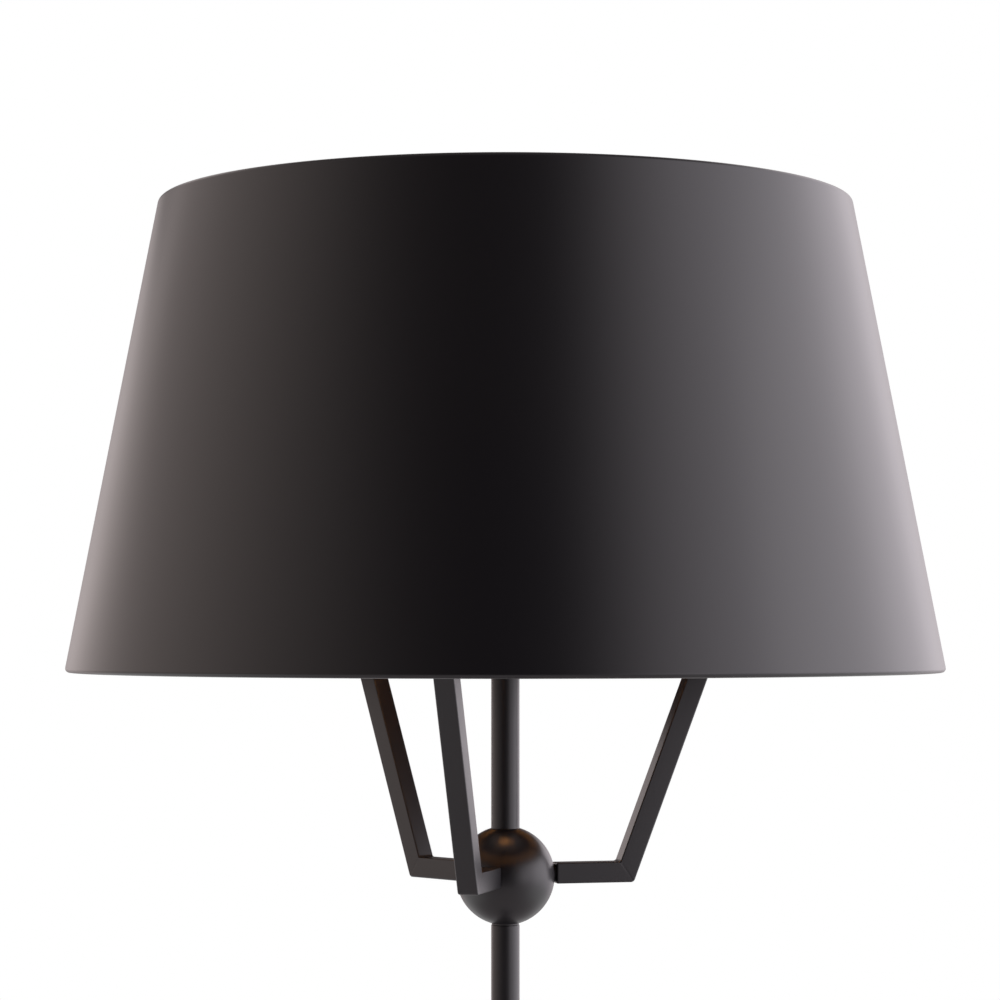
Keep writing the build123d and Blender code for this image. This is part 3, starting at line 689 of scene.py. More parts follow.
def makeTube(name, foot, top):
    s = tubeSizes
    edgeR = s["radius"] - s["edge"]
    outline = [(s["bore"], foot)]
    outline += arc((edgeR, foot + s["edge"]), s["edge"], -90, 0, s["edgeSteps"])
    outline += arc((edgeR, top - s["edge"]), s["edge"], 0, 90, s["edgeSteps"])
    outline += [(s["bore"], top), (s["bore"], foot)]
    return turn(name, outline, s["sides"])


for name, node in tubeNodes.items():
    foot, top = (corner[2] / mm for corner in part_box(node))
    finishPiece(
        makeTube(name, foot, top), "lamp", "painted_metal_frame", finishes["painted_metal_frame"], node
    )
print("tubes made")


# The collar at the stem's foot
collarSizes = {
    "bore": 8.27, "footRadius": 18.0, "foot": 27.0, "step": 1.5, "waist": 9.75, "top": 38.0, "edge": 0.4,
}


def makeCollar():
    s = collarSizes
    outline = [(s["bore"], s["foot"])]
    outline += arc((s["footRadius"] - s["edge"], s["foot"] + s["edge"]), s["edge"], -90, 0, 3)
    outline += arc((s["footRadius"] - s["edge"], s["foot"] + s["step"] - s["edge"]), s["edge"], 0, 90, 3)
    coveWide, coveHigh = s["footRadius"] - 1.0 - s["waist"], s["top"] - s["foot"] - s["step"] - 0.8
    for n in range(13):
        angle = math.radians(90 * n / 12)
        outline.append((
            s["footRadius"] - 1.0 - coveWide * math.sin(angle),
            s["foot"] + s["step"] + coveHigh * (1 - math.cos(angle)),
        ))
    outline += arc((s["waist"] - s["edge"], s["top"] - s["edge"]), s["edge"], 0, 90, 3)
    outline += [(s["bore"], s["top"]), (s["bore"], s["foot"])]
    return turn("stemCollar", outline, 96)


finishPiece(
    makeCollar(), "lamp", "painted_metal_frame", finishes["painted_metal_frame"], "stem_collar"
)


# The base's spun cover, with a hem rolled in at its edge and a hole for the bushing
coverSizes = {
    "radius": 152.5, "wall": 1.5, "edge": 1.0, "sideTop": 15.0, "corner": 6.0, "seat": 27.0,
    "seatRadius": 26.0, "bore": 5.02, "hem": 1.3, "sides": 256, "holeRadius": 4.77, "holeHeight": 8.5,
}


def makeCover():
    s = coverSizes
    # the slope from the shoulder up to the flat seat, and the corner's arc that meets both
    cornerPoint = Vector((s["radius"], s["sideTop"] + s["corner"]))
    seatPoint = Vector((s["seatRadius"], s["seat"]))
    slope = (seatPoint - cornerPoint).normalized()
    slopeAngle = math.degrees(math.atan2(slope.x, -slope.y))
    normalAngle = math.degrees(math.atan2(-slope.x, slope.y))
    reach = s["corner"] * math.tan(math.radians(normalAngle / 2))
    centre = Vector((s["radius"] - s["corner"], cornerPoint.y - reach))
    outer = arc(centre, s["corner"], 0, normalAngle, 10)
    hemMiddle = (s["radius"] - s["hem"], s["edge"] + s["hem"])
    outline = arc(hemMiddle, s["hem"], 90 + 40, 360, 14)
    outline += outer
    outline += [(s["seatRadius"] + 0.6, s["seat"] - 0.04), (s["seatRadius"] - 0.4, s["seat"])]
    outline += [(s["bore"], s["seat"]), (s["bore"], s["seat"] - s["wall"])]
    outline.append((s["seatRadius"], s["seat"] - s["wall"]))
    outline += arc(centre, s["corner"] - s["wall"], normalAngle, 0, 10)
    outline.append((s["radius"] - s["wall"], s["edge"] + 2 * s["hem"] + 0.5))
    outline.append(outline[0])
    cover = turn("baseCover", outline, s["sides"])
    hole = cutterBar(
        s["holeRadius"], (0, s["radius"], s["holeHeight"]), 16, rotation=(math.pi / 2, 0, 0)
    )
    cutAway(cover, hole)
    return cover


finishPiece(makeCover(), "lamp", "painted_metal_base", finishes["painted_metal_base"], "base_cover")


# The felt pad, with a soft edge and an uneven pile
padSizes = {"radius": 145.0, "bore": 30.0, "thick": 2.0, "edge": 0.7, "rings": 60, "sides": 256, "pile": 0.10}


def makePad():
    s = padSizes
    soft = s["edge"]
    outline = arc((s["bore"] + soft, soft), soft, 180, 270, 3)
    outline += steps((s["bore"] + soft, 0), (s["radius"] - soft, 0), s["rings"])
    outline += arc((s["radius"] - soft, soft), soft, -90, 0, 3)[1:]
    outline += arc((s["radius"] - soft, s["thick"] - soft), soft, 0, 90, 3)
    outline += steps((s["radius"] - soft, s["thick"]), (s["bore"] + soft, s["thick"]), 20)
    outline += arc((s["bore"] + soft, s["thick"] - soft), soft, 90, 180, 3)[1:]
    outline.append(outline[0])
    pad = turn("floorPad", outline, s["sides"])
    pile = bpy.data.textures.new("pile", "CLOUDS")
    pile.noise_scale = 0.004
    makeActive(pad)
    lift = pad.modifiers.new("pile", "DISPLACE")
    lift.texture = pile
    lift.strength = -s["pile"] * mm
    lift.mid_level = 0.0
    bpy.ops.object.modifier_apply(modifier="pile")
    return pad


finishPiece(makePad(), "lamp", "felt", finishes["felt"], "floor_pad", angle=60)
print("base made")


# The ring inside the shade, rolled from angle, with holes for the studs
ringSizes = {
    "inner": 185.93, "foot": 1540.0, "thick": 2.5, "leg": 14.0, "bend": 2.0, "edge": 0.5, "sides": 256,
    "slip": 0.02, "holeRadius": 3.5, "holeAt": 198.232,
}


def makeRing():
    s, shade = ringSizes, shadeSizes
    taper = (shade["footRadius"] - shade["topRadius"]) / shade["height"]
    across = math.hypot(1, taper)

    def wallRadius(height):
        return shade["footRadius"] - taper * (height - shade["foot"]) - shade["wall"] * across - s["slip"]

    foot, flat, top = s["foot"], s["foot"] + s["thick"], s["foot"] + s["leg"]
    edge, bend = s["edge"], s["bend"]
    outline = arc((s["inner"] + edge, foot + edge), edge, 180, 270, 3)
    outline += arc((wallRadius(foot + 1) - 1.2, foot + 1.2), 1.2, -90, 8, 5)
    outline += arc((wallRadius(top) - edge - 0.1, top - edge), edge, 10, 90, 3)
    outline += arc((wallRadius(top) - s["thick"] + edge, top - edge), edge, 90, 190, 3)
    outline += arc((wallRadius(flat + bend) - s["thick"] - bend, flat + bend), bend, 8, -90, 6)
    outline += arc((s["inner"] + edge, flat - edge), edge, 90, 180, 3)
    outline.append(outline[0])
    ring = turn("shadeRing", outline, s["sides"])
    for n in range(3):
        angle = math.radians(120 * n)
        place = (s["holeAt"] * math.cos(angle), s["holeAt"] * math.sin(angle), foot + s["thick"] / 2)
        cutAway(ring, cutterBar(s["holeRadius"], place, 8, sides=32))
    return ring


finishPiece(makeRing(), "lamp", "painted_metal_frame", finishes["painted_metal_frame"], "shade_ring")


# The knurled nuts on the ring: turned once, knurled by pulling every other corner in, then copied
nutSizes = {
    "radius": 7.0, "foot": 1543.7, "height": 9.0, "edge": 0.5, "knurls": 36, "depth": 0.45, "bore": 3.02,
    "boreTop": 1550.0, "at": 198.232,
}


def makeNut():
    s = nutSizes
    foot, top = s["foot"], s["foot"] + s["height"]
    outline = [(s["bore"], s["boreTop"]), (s["bore"], foot)]
    outline += [(s["radius"] - s["edge"], foot), (s["radius"], foot + s["edge"])]
    outline += steps((s["radius"], foot + s["edge"]), (s["radius"], top - 2.0), 3)
    outline += [(s["radius"] - 0.5, top - 1.5), (s["radius"] - 0.5, top - 1.2)]
    outline += [(s["radius"] - 0.9, top - 0.6), (s["radius"] - 1.8, top - 0.2), (3.4, top), (0.4, top)]
    nut = turn("shadeNutOne", outline, 2 * s["knurls"])
    pickCorners(
        nut,
        lambda co: math.hypot(co.x, co.y) > (s["radius"] - 0.1) * mm
        and round(math.atan2(co.y, co.x) / math.pi * s["knurls"]) % 2 == 0,
    )
    pull = 1 - s["depth"] / s["radius"]
    bpy.ops.transform.resize(value=(pull, pull, 1), center_override=(0, 0, 0))
    for height in (s["boreTop"], top):
        pickCorners(nut, lambda co: abs(co.z - height * mm) < 0.002 * mm and math.hypot(co.x, co.y) < 3.1 * mm)
        bpy.ops.mesh.edge_face_add()
    bpy.ops.mesh.select_all(action="SELECT")
    bpy.ops.mesh.normals_make_consistent(inside=False)
    bpy.ops.object.mode_set(mode="OBJECT")
    nut.location.x = s["at"] * mm
    makeActive(nut)
    bpy.ops.object.transform_apply(location=True, rotation=False, scale=False)
    return nut


nutOne = makeNut()
nutTwo = copyPiece(nutOne, "shadeNutTwo")
nutThree = copyPiece(nutOne, "shadeNutThree")
turnAbout(nutTwo, (0, 0, math.radians(120)))
turnAbout(nutThree, (0, 0, math.radians(240)))
for nut in (nutOne, nutTwo, nutThree):
    finishPiece(
        nut, "lamp", "painted_metal_frame", finishes["painted_metal_frame"], "shade_nuts", angle=20
    )
print("ring and nuts made")


# The lampholder's cup, with two turned grooves under its rolled rim
cupSizes = {
    "bore": 5.02, "hub": 9.5, "foot": 1366.0, "hubTop": 1371.0, "bowl": 10.0, "top": 1386.0, "wall": 0.9,
    "floor": 1368.5, "grooves": (1381.9, 1383.3), "grooveWide": 0.7, "grooveDeep": 0.25,
}


def makeCup():
    s = cupSizes
    side = s["hub"] + s["bowl"]
    bowlTop = s["hubTop"] + s["bowl"]
    outline = [(s["bore"], s["foot"]), (s["hub"] - 0.3, s["foot"]), (s["hub"], s["foot"] + 0.3)]
    outline.append((s["hub"], s["hubTop"] - 0.3))
    outline.append((s["hub"] + 0.3, s["hubTop"]))
    outline += arc((s["hub"], bowlTop), s["bowl"], -86, 0, 16)
    for height in s["grooves"]:
        outline += [
            (side, height - s["grooveWide"] / 2), (side - s["grooveDeep"], height),
            (side, height + s["grooveWide"] / 2),
        ]
    outline += arc((side - s["wall"] / 2, s["top"] - s["wall"] / 2), s["wall"] / 2, 0, 180, 6)
    outline += arc((s["hub"], bowlTop), s["bowl"] - s["wall"], 0, -90, 12)
    outline += [(s["hub"] - s["wall"], s["hubTop"] + s["wall"]), (s["hub"] - s["wall"], s["floor"])]
    outline += [(s["bore"], s["floor"]), (s["bore"], s["foot"])]
    return turn("holderCup", outline, 96)


finishPiece(makeCup(), "lamp", "holder_brass", finishes["holder_brass"], "holder_cup")


# The lampholder's shell, with two raised beads and a rolled lip
shellSizes = {
    "radius": 18.58, "wall": 0.7, "foot": 1381.02, "top": 1427.02, "beads": (1401.6, 1404.6), "bead": 1.0,
    "beadRise": 0.55, "lip": 0.8, "holeRadius": 2.5, "holeHeight": 1393.0,
}


def makeShell():
    s = shellSizes
    radius, inner = s["radius"], s["radius"] - s["wall"]
    outline = [(inner, s["foot"]), (radius, s["foot"])]
    for height in s["beads"]:
        for n in range(7):
            angle = math.pi * n / 6
            outline.append((
                radius + s["beadRise"] * math.sin(angle),
                height - s["bead"] * math.cos(angle),
            ))
    outline.append((radius, s["top"] - 2 * s["lip"] - 0.2))
    outline += arc((radius, s["top"] - s["lip"]), s["lip"], -80, 90, 8)
    outline += [(inner, s["top"]), (inner, s["foot"])]
    shell = turn("holderShell", outline, 96)
    hole = cutterBar(
        s["holeRadius"], (-radius, 0, s["holeHeight"]), 6, rotation=(0, math.pi / 2, 0), sides=32
    )
    cutAway(shell, hole)
    return shell


finishPiece(makeShell(), "lamp", "holder_brass", finishes["holder_brass"], "holder_shell")


# The card tube inside it, with its overlapped seam
linerSizes = {"radius": 17.86, "wall": 0.8, "foot": 1381.02, "top": 1424.02, "edge": 0.2}


def makeLiner():
    s = linerSizes
    radius, inner, edge = s["radius"], s["radius"] - s["wall"], s["edge"]
    outline = [(inner, s["foot"] + edge), (inner + edge, s["foot"]), (radius - edge, s["foot"])]
    outline += [(radius, s["foot"] + edge), (radius, s["top"] - edge), (radius - edge, s["top"])]
    outline += [(inner + edge, s["top"]), (inner, s["top"] - edge), (inner, s["foot"] + edge)]
    liner = turn("holderLiner", outline, 90)
    # the seam: a strip of the outside let in by a card's thickness, away from the switch
    pickCorners(
        liner,
        lambda co: math.hypot(co.x, co.y) > (radius - 0.05) * mm and abs(math.atan2(co.y, co.x) - 1.0) < 0.12,
    )
    pull = 1 - 0.25 / radius
    bpy.ops.transform.resize(value=(pull, pull, 1), center_override=(0, 0, 0))
    bpy.ops.object.mode_set(mode="OBJECT")
    hole = cutterBar(2.5, (-radius, 0, 1393.0), 6, rotation=(0, math.pi / 2, 0), sides=32)
    cutAway(liner, hole)
    return liner


finishPiece(makeLiner(), "lamp", "liner_card", finishes["liner_card"], "holder_liner")


# Rolled threads: the wave runs up and round, the same on the shell and on the bulb's cap
threadSizes = {"pitch": 3.63, "depth": 0.5, "fade": 1.6, "datum": 1402.0, "sides": 72, "step": 0.33}


def rollThread(piece, foot, top):
    s = threadSizes
    for vertex in piece.data.vertices:
        height = vertex.co.z / mm
        radius = math.hypot(vertex.co.x, vertex.co.y)
        if foot < height < top and radius > 12.0 * mm:
            share = math.atan2(vertex.co.y, vertex.co.x) / (2 * math.pi)
            wave = 0.5 - 0.5 * math.cos(2 * math.pi * ((height - s["datum"]) / s["pitch"] - share))
            ease = min(1.0, (height - foot) / s["fade"], (top - height) / s["fade"])
            grow = 1 - s["depth"] * mm * wave * ease / radius
            vertex.co.x *= grow
            vertex.co.y *= grow
    piece.data.update()


threadShellSizes = {
    "inner": 13.3, "outer": 13.8, "foot": 1402.0, "top": 1423.0, "floor": 1402.5, "hole": 5.5,
}


def makeThreadShell():
    s, t = threadShellSizes, threadSizes
    count = int((s["top"] - s["foot"]) / t["step"])
    outline = [(s["hole"], s["floor"]), (s["hole"], s["foot"]), (s["outer"] - 0.3, s["foot"])]
    outline.append((s["outer"], s["foot"] + 0.3))
    outline += steps((s["outer"], s["foot"] + 0.3), (s["outer"], s["top"]), count)
    outline.append((s["inner"], s["top"]))
    outline += steps((s["inner"], s["top"]), (s["inner"], s["floor"]), count)
    outline.append((s["hole"], s["floor"]))
    piece = turn("threadShell", outline, t["sides"])
    rollThread(piece, s["foot"] + 1.5, s["top"] - 1.0)
    return piece


finishPiece(makeThreadShell(), "lamp", "holder_brass", finishes["holder_brass"], "thread_shell")


# The bulb: a threaded cap with a plain skirt, and a lit opal globe
capSizes = {"radius": 13.1, "wall": 0.4, "foot": 1408.0, "top": 1430.0, "skirt": 1426.4}


def makeCap():
    s, t = capSizes, threadSizes
    count = int((s["skirt"] - s["foot"]) / t["step"])
    inner = s["radius"] - s["wall"]
    outline = [(2.0, s["foot"] + s["wall"]), (2.0, s["foot"]), (s["radius"] - 0.6, s["foot"])]
    outline.append((s["radius"], s["foot"] + 0.6))
    outline += steps((s["radius"], s["foot"] + 0.6), (s["radius"], s["skirt"]), count)
    outline += [(s["radius"], s["top"] - 0.5), (s["radius"] - 0.1, s["top"]), (inner, s["top"])]
    outline.append((inner, s["skirt"]))
    outline += steps((inner, s["skirt"]), (inner, s["foot"] + 0.6), count)
    outline += [(inner - 0.5, s["foot"] + s["wall"]), (2.0, s["foot"] + s["wall"])]
    piece = turn("bulbCap", outline, t["sides"])
    rollThread(piece, s["foot"] + 1.2, s["skirt"])
    return piece


finishPiece(makeCap(), "lamp", "bulb_aluminium", finishes["bulb_aluminium"], "bulb_cap")

globeSizes = {
    "radius": 30.0, "middle": 1483.147, "neck": 12.5, "neckFoot": 1425.0, "neckTop": 1435.0,
    "shoulder": 40.0, "wall": 0.8, "sides": 128,
}


def makeGlobe():
    s = globeSizes
    shoulder = math.radians(s["shoulder"])
    sweep = (s["radius"] * math.cos(shoulder) - s["neck"]) / (1 - math.cos(shoulder))
    sweepMiddle = (s["neck"] + sweep, s["neckTop"])
    wall = s["wall"]
    outline = [(s["neck"], s["neckFoot"])]
    outline += arc(sweepMiddle, sweep, 180, 180 - s["shoulder"], 12)
    outline += arc((0, s["middle"]), s["radius"], -s["shoulder"], 89.2, 44)[1:]
    inner = [(s["neck"] - wall, s["neckFoot"])]
    inner += arc(sweepMiddle, sweep + wall, 180, 180 - s["shoulder"], 12)
    inner += arc((0, s["middle"]), s["radius"] - wall, -s["shoulder"], 89.0, 44)[1:]
    globe = turn("bulbGlass", list(reversed(inner)) + outline, s["sides"])
    for height in (s["middle"] + s["radius"], s["middle"] + s["radius"] - wall):
        pickCorners(
            globe, lambda co: abs(co.z - height * mm) < 0.02 * mm and math.hypot(co.x, co.y) < 0.7 * mm
        )
        bpy.ops.mesh.edge_face_add()
    bpy.ops.mesh.select_all(action="SELECT")
    bpy.ops.mesh.normals_make_consistent(inside=False)
    bpy.ops.object.mode_set(mode="OBJECT")
    return globe


finishPiece(makeGlobe(), "lamp", "bulb_glass", finishes["bulb_glass"], "bulb_glass")
print("lampholder and bulb made")


# The switch's key: turned upright, fluted, then laid along -X
keySizes = {
    "radius": 5.0, "length": 15.0, "near": 20.38, "height": 1393.0, "flutes": 20, "fluteDeep": 0.5,
    "bore": 1.62, "boreDeep": 7.5,
}


def makeKey():
    s = keySizes
    radius, length = s["radius"], s["length"]
    outline = [(s["bore"], s["boreDeep"]), (s["bore"], 0.0), (radius - 0.5, 0.0), (radius - 0.2, 0.4)]
    outline += [(radius - 0.2, 1.4), (radius - 1.1, 1.9), (radius - 1.1, 2.5), (radius, 3.2)]
    outline += steps((radius, 3.2), (radius, length - 2.2), 4)
    outline += arc((radius - 1.8, length - 1.8), 1.8, 8, 78, 6)
    outline += [(2.0, length - 0.02), (0.5, length)]
    key = turn("switchKey", outline, 4 * s["flutes"])
    pickCorners(
        key,
        lambda co: math.hypot(co.x, co.y) > (radius - 0.06) * mm
        and round(math.atan2(co.y, co.x) / math.pi * 2 * s["flutes"]) % 4 in (0, 1),
    )
    pull = 1 - s["fluteDeep"] / radius
    bpy.ops.transform.resize(value=(pull, pull, 1), center_override=(0, 0, 0))
    for height in (s["boreDeep"], length):
        pickCorners(
            key, lambda co: abs(co.z - height * mm) < 0.003 * mm and math.hypot(co.x, co.y) < 1.7 * mm
        )
        bpy.ops.mesh.edge_face_add()
    bpy.ops.mesh.select_all(action="SELECT")
    bpy.ops.mesh.normals_make_consistent(inside=False)
    bpy.ops.object.mode_set(mode="OBJECT")
    turnAbout(key, (0, -math.pi / 2, 0))
    key.location = (-s["near"] * mm, 0, s["height"] * mm)
    makeActive(key)
    bpy.ops.object.transform_apply(location=True, rotation=False, scale=False)
    return key


finishPiece(makeKey(), "switch", "key_plastic", finishes["key_plastic"], "switch_key", angle=28)


# The hexagon nuts, with their corners turned off on both faces
hexSizes = {
    "baseLocknut": ("base_locknut", 17.0, 6.8, 11.8),
    "holderNut": ("holder_nut", 14.0, 1368.5, 1371.5),
}


def makeHexNut(name, across, foot, top, bore=5.02):
    deselectAll()
    middle = (0, 0, (foot + top) / 2 * mm)
    bpy.ops.mesh.primitive_cylinder_add(
        vertices=6, radius=across / math.sqrt(3) * mm, depth=(top - foot) * mm, location=middle
    )
    nut = bpy.context.object
    nut.name = nut.data.name = name
    bpy.ops.object.transform_apply(location=True, rotation=False, scale=False)
    # a cone turned off each face: what is left of the hexagon inside a chamfered disc
    outer = across / math.sqrt(3) + 0.3
    disc = turn(name + "Blank", [
        (across / 2 - 0.2, foot), (outer, foot + (outer - across / 2 + 0.2) * 0.5),
        (outer, top - (outer - across / 2 + 0.2) * 0.5), (across / 2 - 0.2, top),
    ], 72, solid=True)
    makeActive(nut)
    keep = nut.modifiers.new("keep", "BOOLEAN")
    keep.object = disc
    keep.operation = "INTERSECT"
    keep.solver = "EXACT"
    bpy.ops.object.modifier_apply(modifier="keep")
    bpy.data.objects.remove(disc)
    cutAway(nut, cutterBar(bore, (0, 0, (foot + top) / 2), top - foot + 4))
    return nut


for name, (node, across, foot, top) in hexSizes.items():
    finishPiece(
        makeHexNut(name, across, foot, top), "lamp", "plated_steel", finishes["plated_steel"], node,
        angle=25,
    )
print("switch and nuts made")


# The CAD's own pieces that stay get their finish
carried = {
    # near-black spacers in the gap between the ball and the bars: painted shade
    "black_washer": ["arm_spacers"],
    "painted_light_washer": ["ball_neck"],     # the same black fibre, lighter and glossier: painted light on the shaded neck under the ball
    "cast_weight": ["base_weight"],
    "rubber": ["cord_bushing"],
    "plated_steel": ["base_washer", "base_nipple", "tube_inserts", "stem_nipples", "ball_nipple",
                     "arm_studs", "shade_studs", "shade_washers", "holder_nipple"],
    "holder_brass": ["terminal_screws", "middle_contact", "bulb_tip"],
    "core_plastic": ["holder_core"],
    "spindle_brass": ["switch_spindle"],
    "bulb_black_glass": ["bulb_insulator"],
}
for slot, names in carried.items():
    for name in names:
        for materialSlot in nodes[name].material_slots:
            materialSlot.material = finishes[slot]
print("carried nodes finished:", sum(len(names) for names in carried.values()))


# The studio: a pale floor that fades to white far out
floorSizes = {
    "radius": 3.4, "hole": 0.143, "shadowFrom": 0.9, "shadowTo": 3.0, "pale": 0.72,
    "mirrorFrom": 0.5, "mirrorTo": 2.2, "mirrored": 0.75, "frontEnd": -0.95, "sideStart": 0.0,
}


def makeFloor():
    s = floorSizes
    deselectAll()
    bpy.ops.mesh.primitive_circle_add(vertices=96, radius=s["hole"], fill_type="NOTHING", location=(0, 0, 0))
    floor = bpy.context.object
    floor.name = "studioFloor"
    # open under the pad, so that the lamp can be looked at from below
    bpy.ops.object.mode_set(mode="EDIT")
    bpy.ops.mesh.select_all(action="SELECT")
    bpy.ops.mesh.extrude_region_move(TRANSFORM_OT_translate={"value": (0, 0, 0)})
    grow = s["radius"] / s["hole"]
    bpy.ops.transform.resize(value=(grow, grow, 1), center_override=(0, 0, 0))
    bpy.ops.object.mode_set(mode="OBJECT")
    if floor.data.polygons[0].normal.z < 0:
        floor.data.flip_normals()
    material = bpy.data.materials.new("paleFloor")
    material.use_nodes = True
    tree = material.node_tree
    tree.nodes.remove(tree.nodes["Principled BSDF"])
    place = addNode(tree, "ShaderNodeTexCoord").outputs["Object"]
    far = addNode(tree, "ShaderNodeVectorMath", operation="LENGTH")
    tree.links.new(place, far.inputs[0])

    def fade(value, start, end, low, high):
        node = addNode(tree, "ShaderNodeMapRange", interpolation_type="SMOOTHSTEP")
        for label, number in (("From Min", start), ("From Max", end), ("To Min", low), ("To Max", high)):
            node.inputs[label].default_value = number
        tree.links.new(value, node.inputs["Value"])
        return node.outputs["Result"]

    # what the eye sees of it is white far out, and what the metal mirrors of it is pale but for the front
    path = addNode(tree, "ShaderNodeLightPath")
    white = fade(far.outputs["Value"], s["shadowFrom"], s["shadowTo"], s["pale"], 1.0)
    mirrored = fade(far.outputs["Value"], s["mirrorFrom"], s["mirrorTo"], 0.0, s["mirrored"])
    behind = addNode(tree, "ShaderNodeVectorMath", operation="DOT_PRODUCT")
    tree.links.new(place, behind.inputs[0])
    behind.inputs[1].default_value = lookDir
    turn = addMath(tree, "DIVIDE", behind.outputs["Value"], far.outputs["Value"])
    mirrored = addMath(tree, "MULTIPLY", mirrored, fade(turn, s["frontEnd"], s["sideStart"], 0.0, 1.0))
    seen = addMath(tree, "MULTIPLY", white, path.outputs["Is Camera Ray"])
    mirrored = addMath(tree, "MULTIPLY", mirrored, path.outputs["Is Glossy Ray"])
    matte = addNode(tree, "ShaderNodeBsdfDiffuse")
    matte.inputs["Color"].default_value = (0.72, 0.72, 0.72, 1)
    glow = addNode(tree, "ShaderNodeEmission")
    glow.inputs["Strength"].default_value = 1.0
    mix = addNode(tree, "ShaderNodeMixShader")
    tree.links.new(addMath(tree, "MAXIMUM", seen, mirrored), mix.inputs["Fac"])
    tree.links.new(matte.outputs[0], mix.inputs[1])
    tree.links.new(glow.outputs[0], mix.inputs[2])
    clear = addNode(tree, "ShaderNodeBsdfTransparent")
    oneSided = addNode(tree, "ShaderNodeMixShader")
    tree.links.new(addNode(tree, "ShaderNodeNewGeometry").outputs["Backfacing"], oneSided.inputs["Fac"])
    tree.links.new(mix.outputs[0], oneSided.inputs[1])
    tree.links.new(clear.outputs[0], oneSided.inputs[2])
    tree.links.new(oneSided.outputs[0], tree.nodes["Material Output"].inputs["Surface"])
    floor.data.materials.append(material)


makeFloor()


# The world: a white backdrop that falls off round the left to a dim room behind the camera, and a large
# soft window on the right. Degrees are counted from the camera's side, to the right.
worldSizes = {
    "levels": [
        (-180, 0.20), (-172, 0.36), (-161, 0.92), (-150, 1.29), (-141, 1.27), (-133, 1.08), (-122, 0.87),
        (-110, 0.74), (-98, 0.68), (-88, 0.61), (-68, 0.42), (-46, 0.25), (-30, 0.12), (-14, 0.05), (6, 0.04),
        (20, 0.105), (34, 0.43),
        (56, 1.00), (84, 1.36), (110, 1.53), (142, 1.90), (155, 1.45), (166, 0.85), (180, 0.20),
    ],
    "leftColor": (1.0, 0.86, 0.82), "rightColor": (1.0, 0.945, 1.02),
    "overhead": 0.20, "overheadFrom": 0.52, "overheadTo": 0.85,
    "belowShare": 0.55, "belowBase": 0.10, "belowFrom": 0.0, "belowTo": -0.25,
    # the light thins out above the horizon behind on the left, and grows towards it at the window's near edge
    "changes": [
        {"around": -161, "far": 0.87, "near": 0.975, "from": 0.165, "to": 0.22, "share": 0.18},
        {"around": -137, "far": 0.87, "near": 0.96, "from": 0.20, "to": 0.25, "share": 0.72},
        {"around": -30, "far": 0.72, "near": 0.88, "from": 0.38, "to": 0.46, "share": 0.5},
        {"around": 34, "far": 0.90, "near": 0.985, "from": 0.34, "to": 0.05, "share": 1.55},
    ],
}


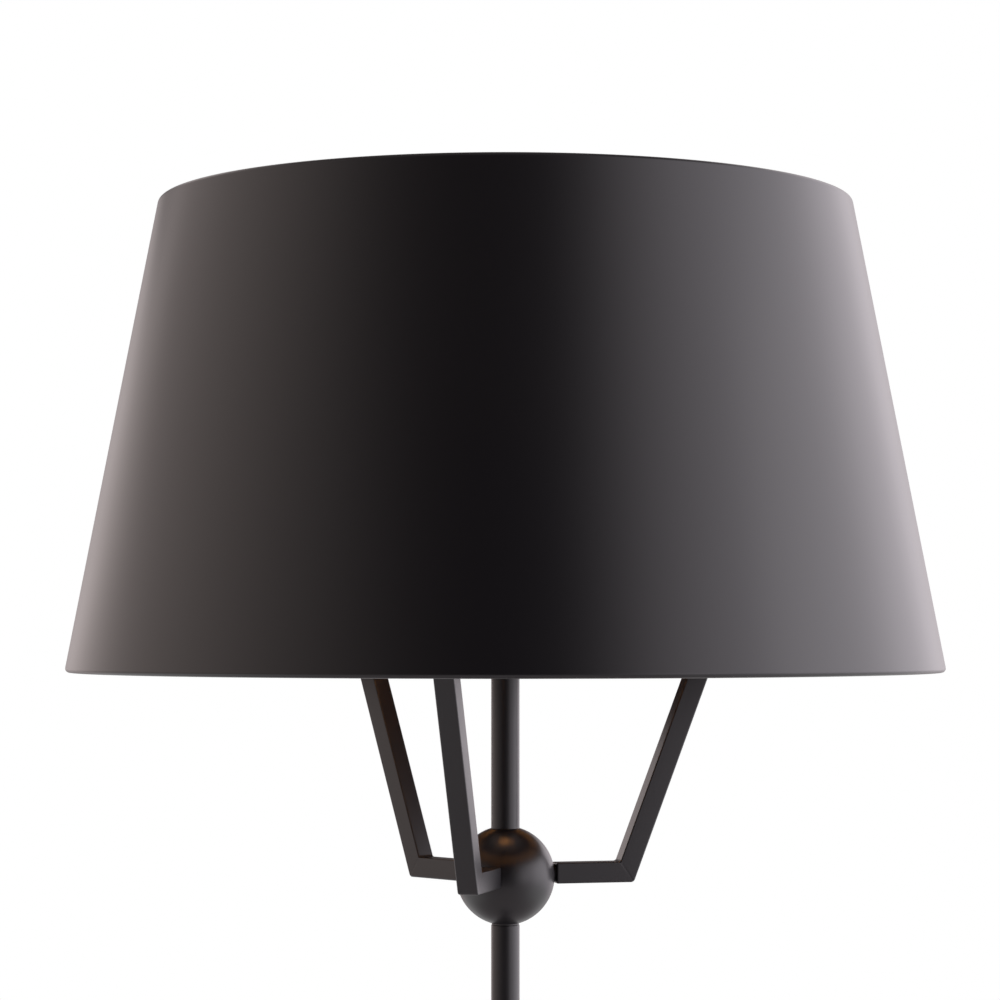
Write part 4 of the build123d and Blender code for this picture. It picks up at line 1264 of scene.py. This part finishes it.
def makeWorld():
    s = worldSizes
    world = bpy.data.worlds.new("studio")
    bpy.context.scene.world = world
    world.use_nodes = True
    tree = world.node_tree
    background = tree.nodes["Background"]
    way = addNode(tree, "ShaderNodeTexCoord").outputs["Generated"]

    def along(direction):
        dot = addNode(tree, "ShaderNodeVectorMath", operation="DOT_PRODUCT")
        tree.links.new(way, dot.inputs[0])
        dot.inputs[1].default_value = direction
        return dot.outputs["Value"]

    angle = addMath(tree, "ARCTAN2", along(rightDir), along(-lookDir))
    round360 = addMath(tree, "ADD", addMath(tree, "DIVIDE", angle, 2 * math.pi), 0.5)
    ramp = addNode(tree, "ShaderNodeValToRGB")
    ramp.color_ramp.interpolation = "CARDINAL"
    while len(ramp.color_ramp.elements) < len(s["levels"]):
        ramp.color_ramp.elements.new(0.5)
    for element, (degrees, level) in zip(ramp.color_ramp.elements, s["levels"]):
        element.position = degrees / 360 + 0.5
        element.color = (level / 2, level / 2, level / 2, 1)
    tree.links.new(round360, ramp.inputs["Fac"])
    around = addBlend(tree, 1.0, ramp.outputs["Color"], (2, 2, 2, 1), "MULTIPLY")

    def ease(value, start, end):
        node = addNode(tree, "ShaderNodeMapRange", interpolation_type="SMOOTHSTEP")
        tree.links.new(value, node.inputs["Value"])
        node.inputs["From Min"].default_value = start
        node.inputs["From Max"].default_value = end
        return node.outputs["Result"]

    rise = along(Vector((0, 0, 1)))
    for change in s["changes"]:
        turnedTo = math.radians(change["around"])
        side = along(-lookDir * math.cos(turnedTo) + rightDir * math.sin(turnedTo))
        place = addMath(
            tree, "MULTIPLY", ease(side, change["far"], change["near"]), ease(rise, change["from"], change["to"])
        )
        around = addBlend(tree, place, around, (*[change["share"]] * 3, 1), "MULTIPLY")
    dimmed = addBlend(tree, 1.0, around, (*[s["belowShare"]] * 3, 1), "MULTIPLY")
    low = addBlend(tree, 1.0, dimmed, (*[s["belowBase"]] * 3, 1), "ADD")
    sunk = addBlend(tree, ease(rise, s["belowFrom"], s["belowTo"]), around, low)
    domed = addBlend(
        tree, ease(rise, s["overheadFrom"], s["overheadTo"]), sunk,
        (s["overhead"], s["overhead"], s["overhead"], 1),
    )
    sideways = addMath(tree, "ADD", addMath(tree, "MULTIPLY", along(rightDir), 0.5), 0.5)
    tint = addBlend(tree, sideways, (*s["leftColor"], 1), (*s["rightColor"], 1))
    lit = addBlend(tree, 1.0, domed, tint, "MULTIPLY")
    path = addNode(tree, "ShaderNodeLightPath")
    seen = addMath(tree, "MAXIMUM", path.outputs["Is Camera Ray"], path.outputs["Is Transmission Ray"])
    tree.links.new(addBlend(tree, seen, lit, (1, 1, 1, 1)), background.inputs["Color"])


makeWorld()


# The lamp: a large soft panel on the right
lampSizes = {
    "rightPanel": {"around": 95.0, "distance": 2.3, "height": 1.45, "wide": 2.4, "high": 2.0, "level": 0.35,
                   "color": (1.0, 0.95, 0.98)},
}


def makeLamp(name, around, distance, height, wide, high, level, color):
    angle = math.radians(around)
    side = -lookDir * math.cos(angle) + rightDir * math.sin(angle)
    place = side * distance + Vector((0, 0, height))
    aim = Vector((0, 0, 1.3)) - place
    deselectAll()
    bpy.ops.object.light_add(type="AREA", location=place)
    lamp = bpy.context.object
    lamp.name = name
    lamp.rotation_euler = aim.to_track_quat("-Z", "Y").to_euler()
    lamp.data.shape = "RECTANGLE"
    lamp.data.size = wide
    lamp.data.size_y = high
    lamp.data.energy = level * math.pi * wide * high
    lamp.data.color = color
    lamp.visible_camera = False


for name, settings in lampSizes.items():
    makeLamp(name, **settings)
print("studio made")

deselectAll()
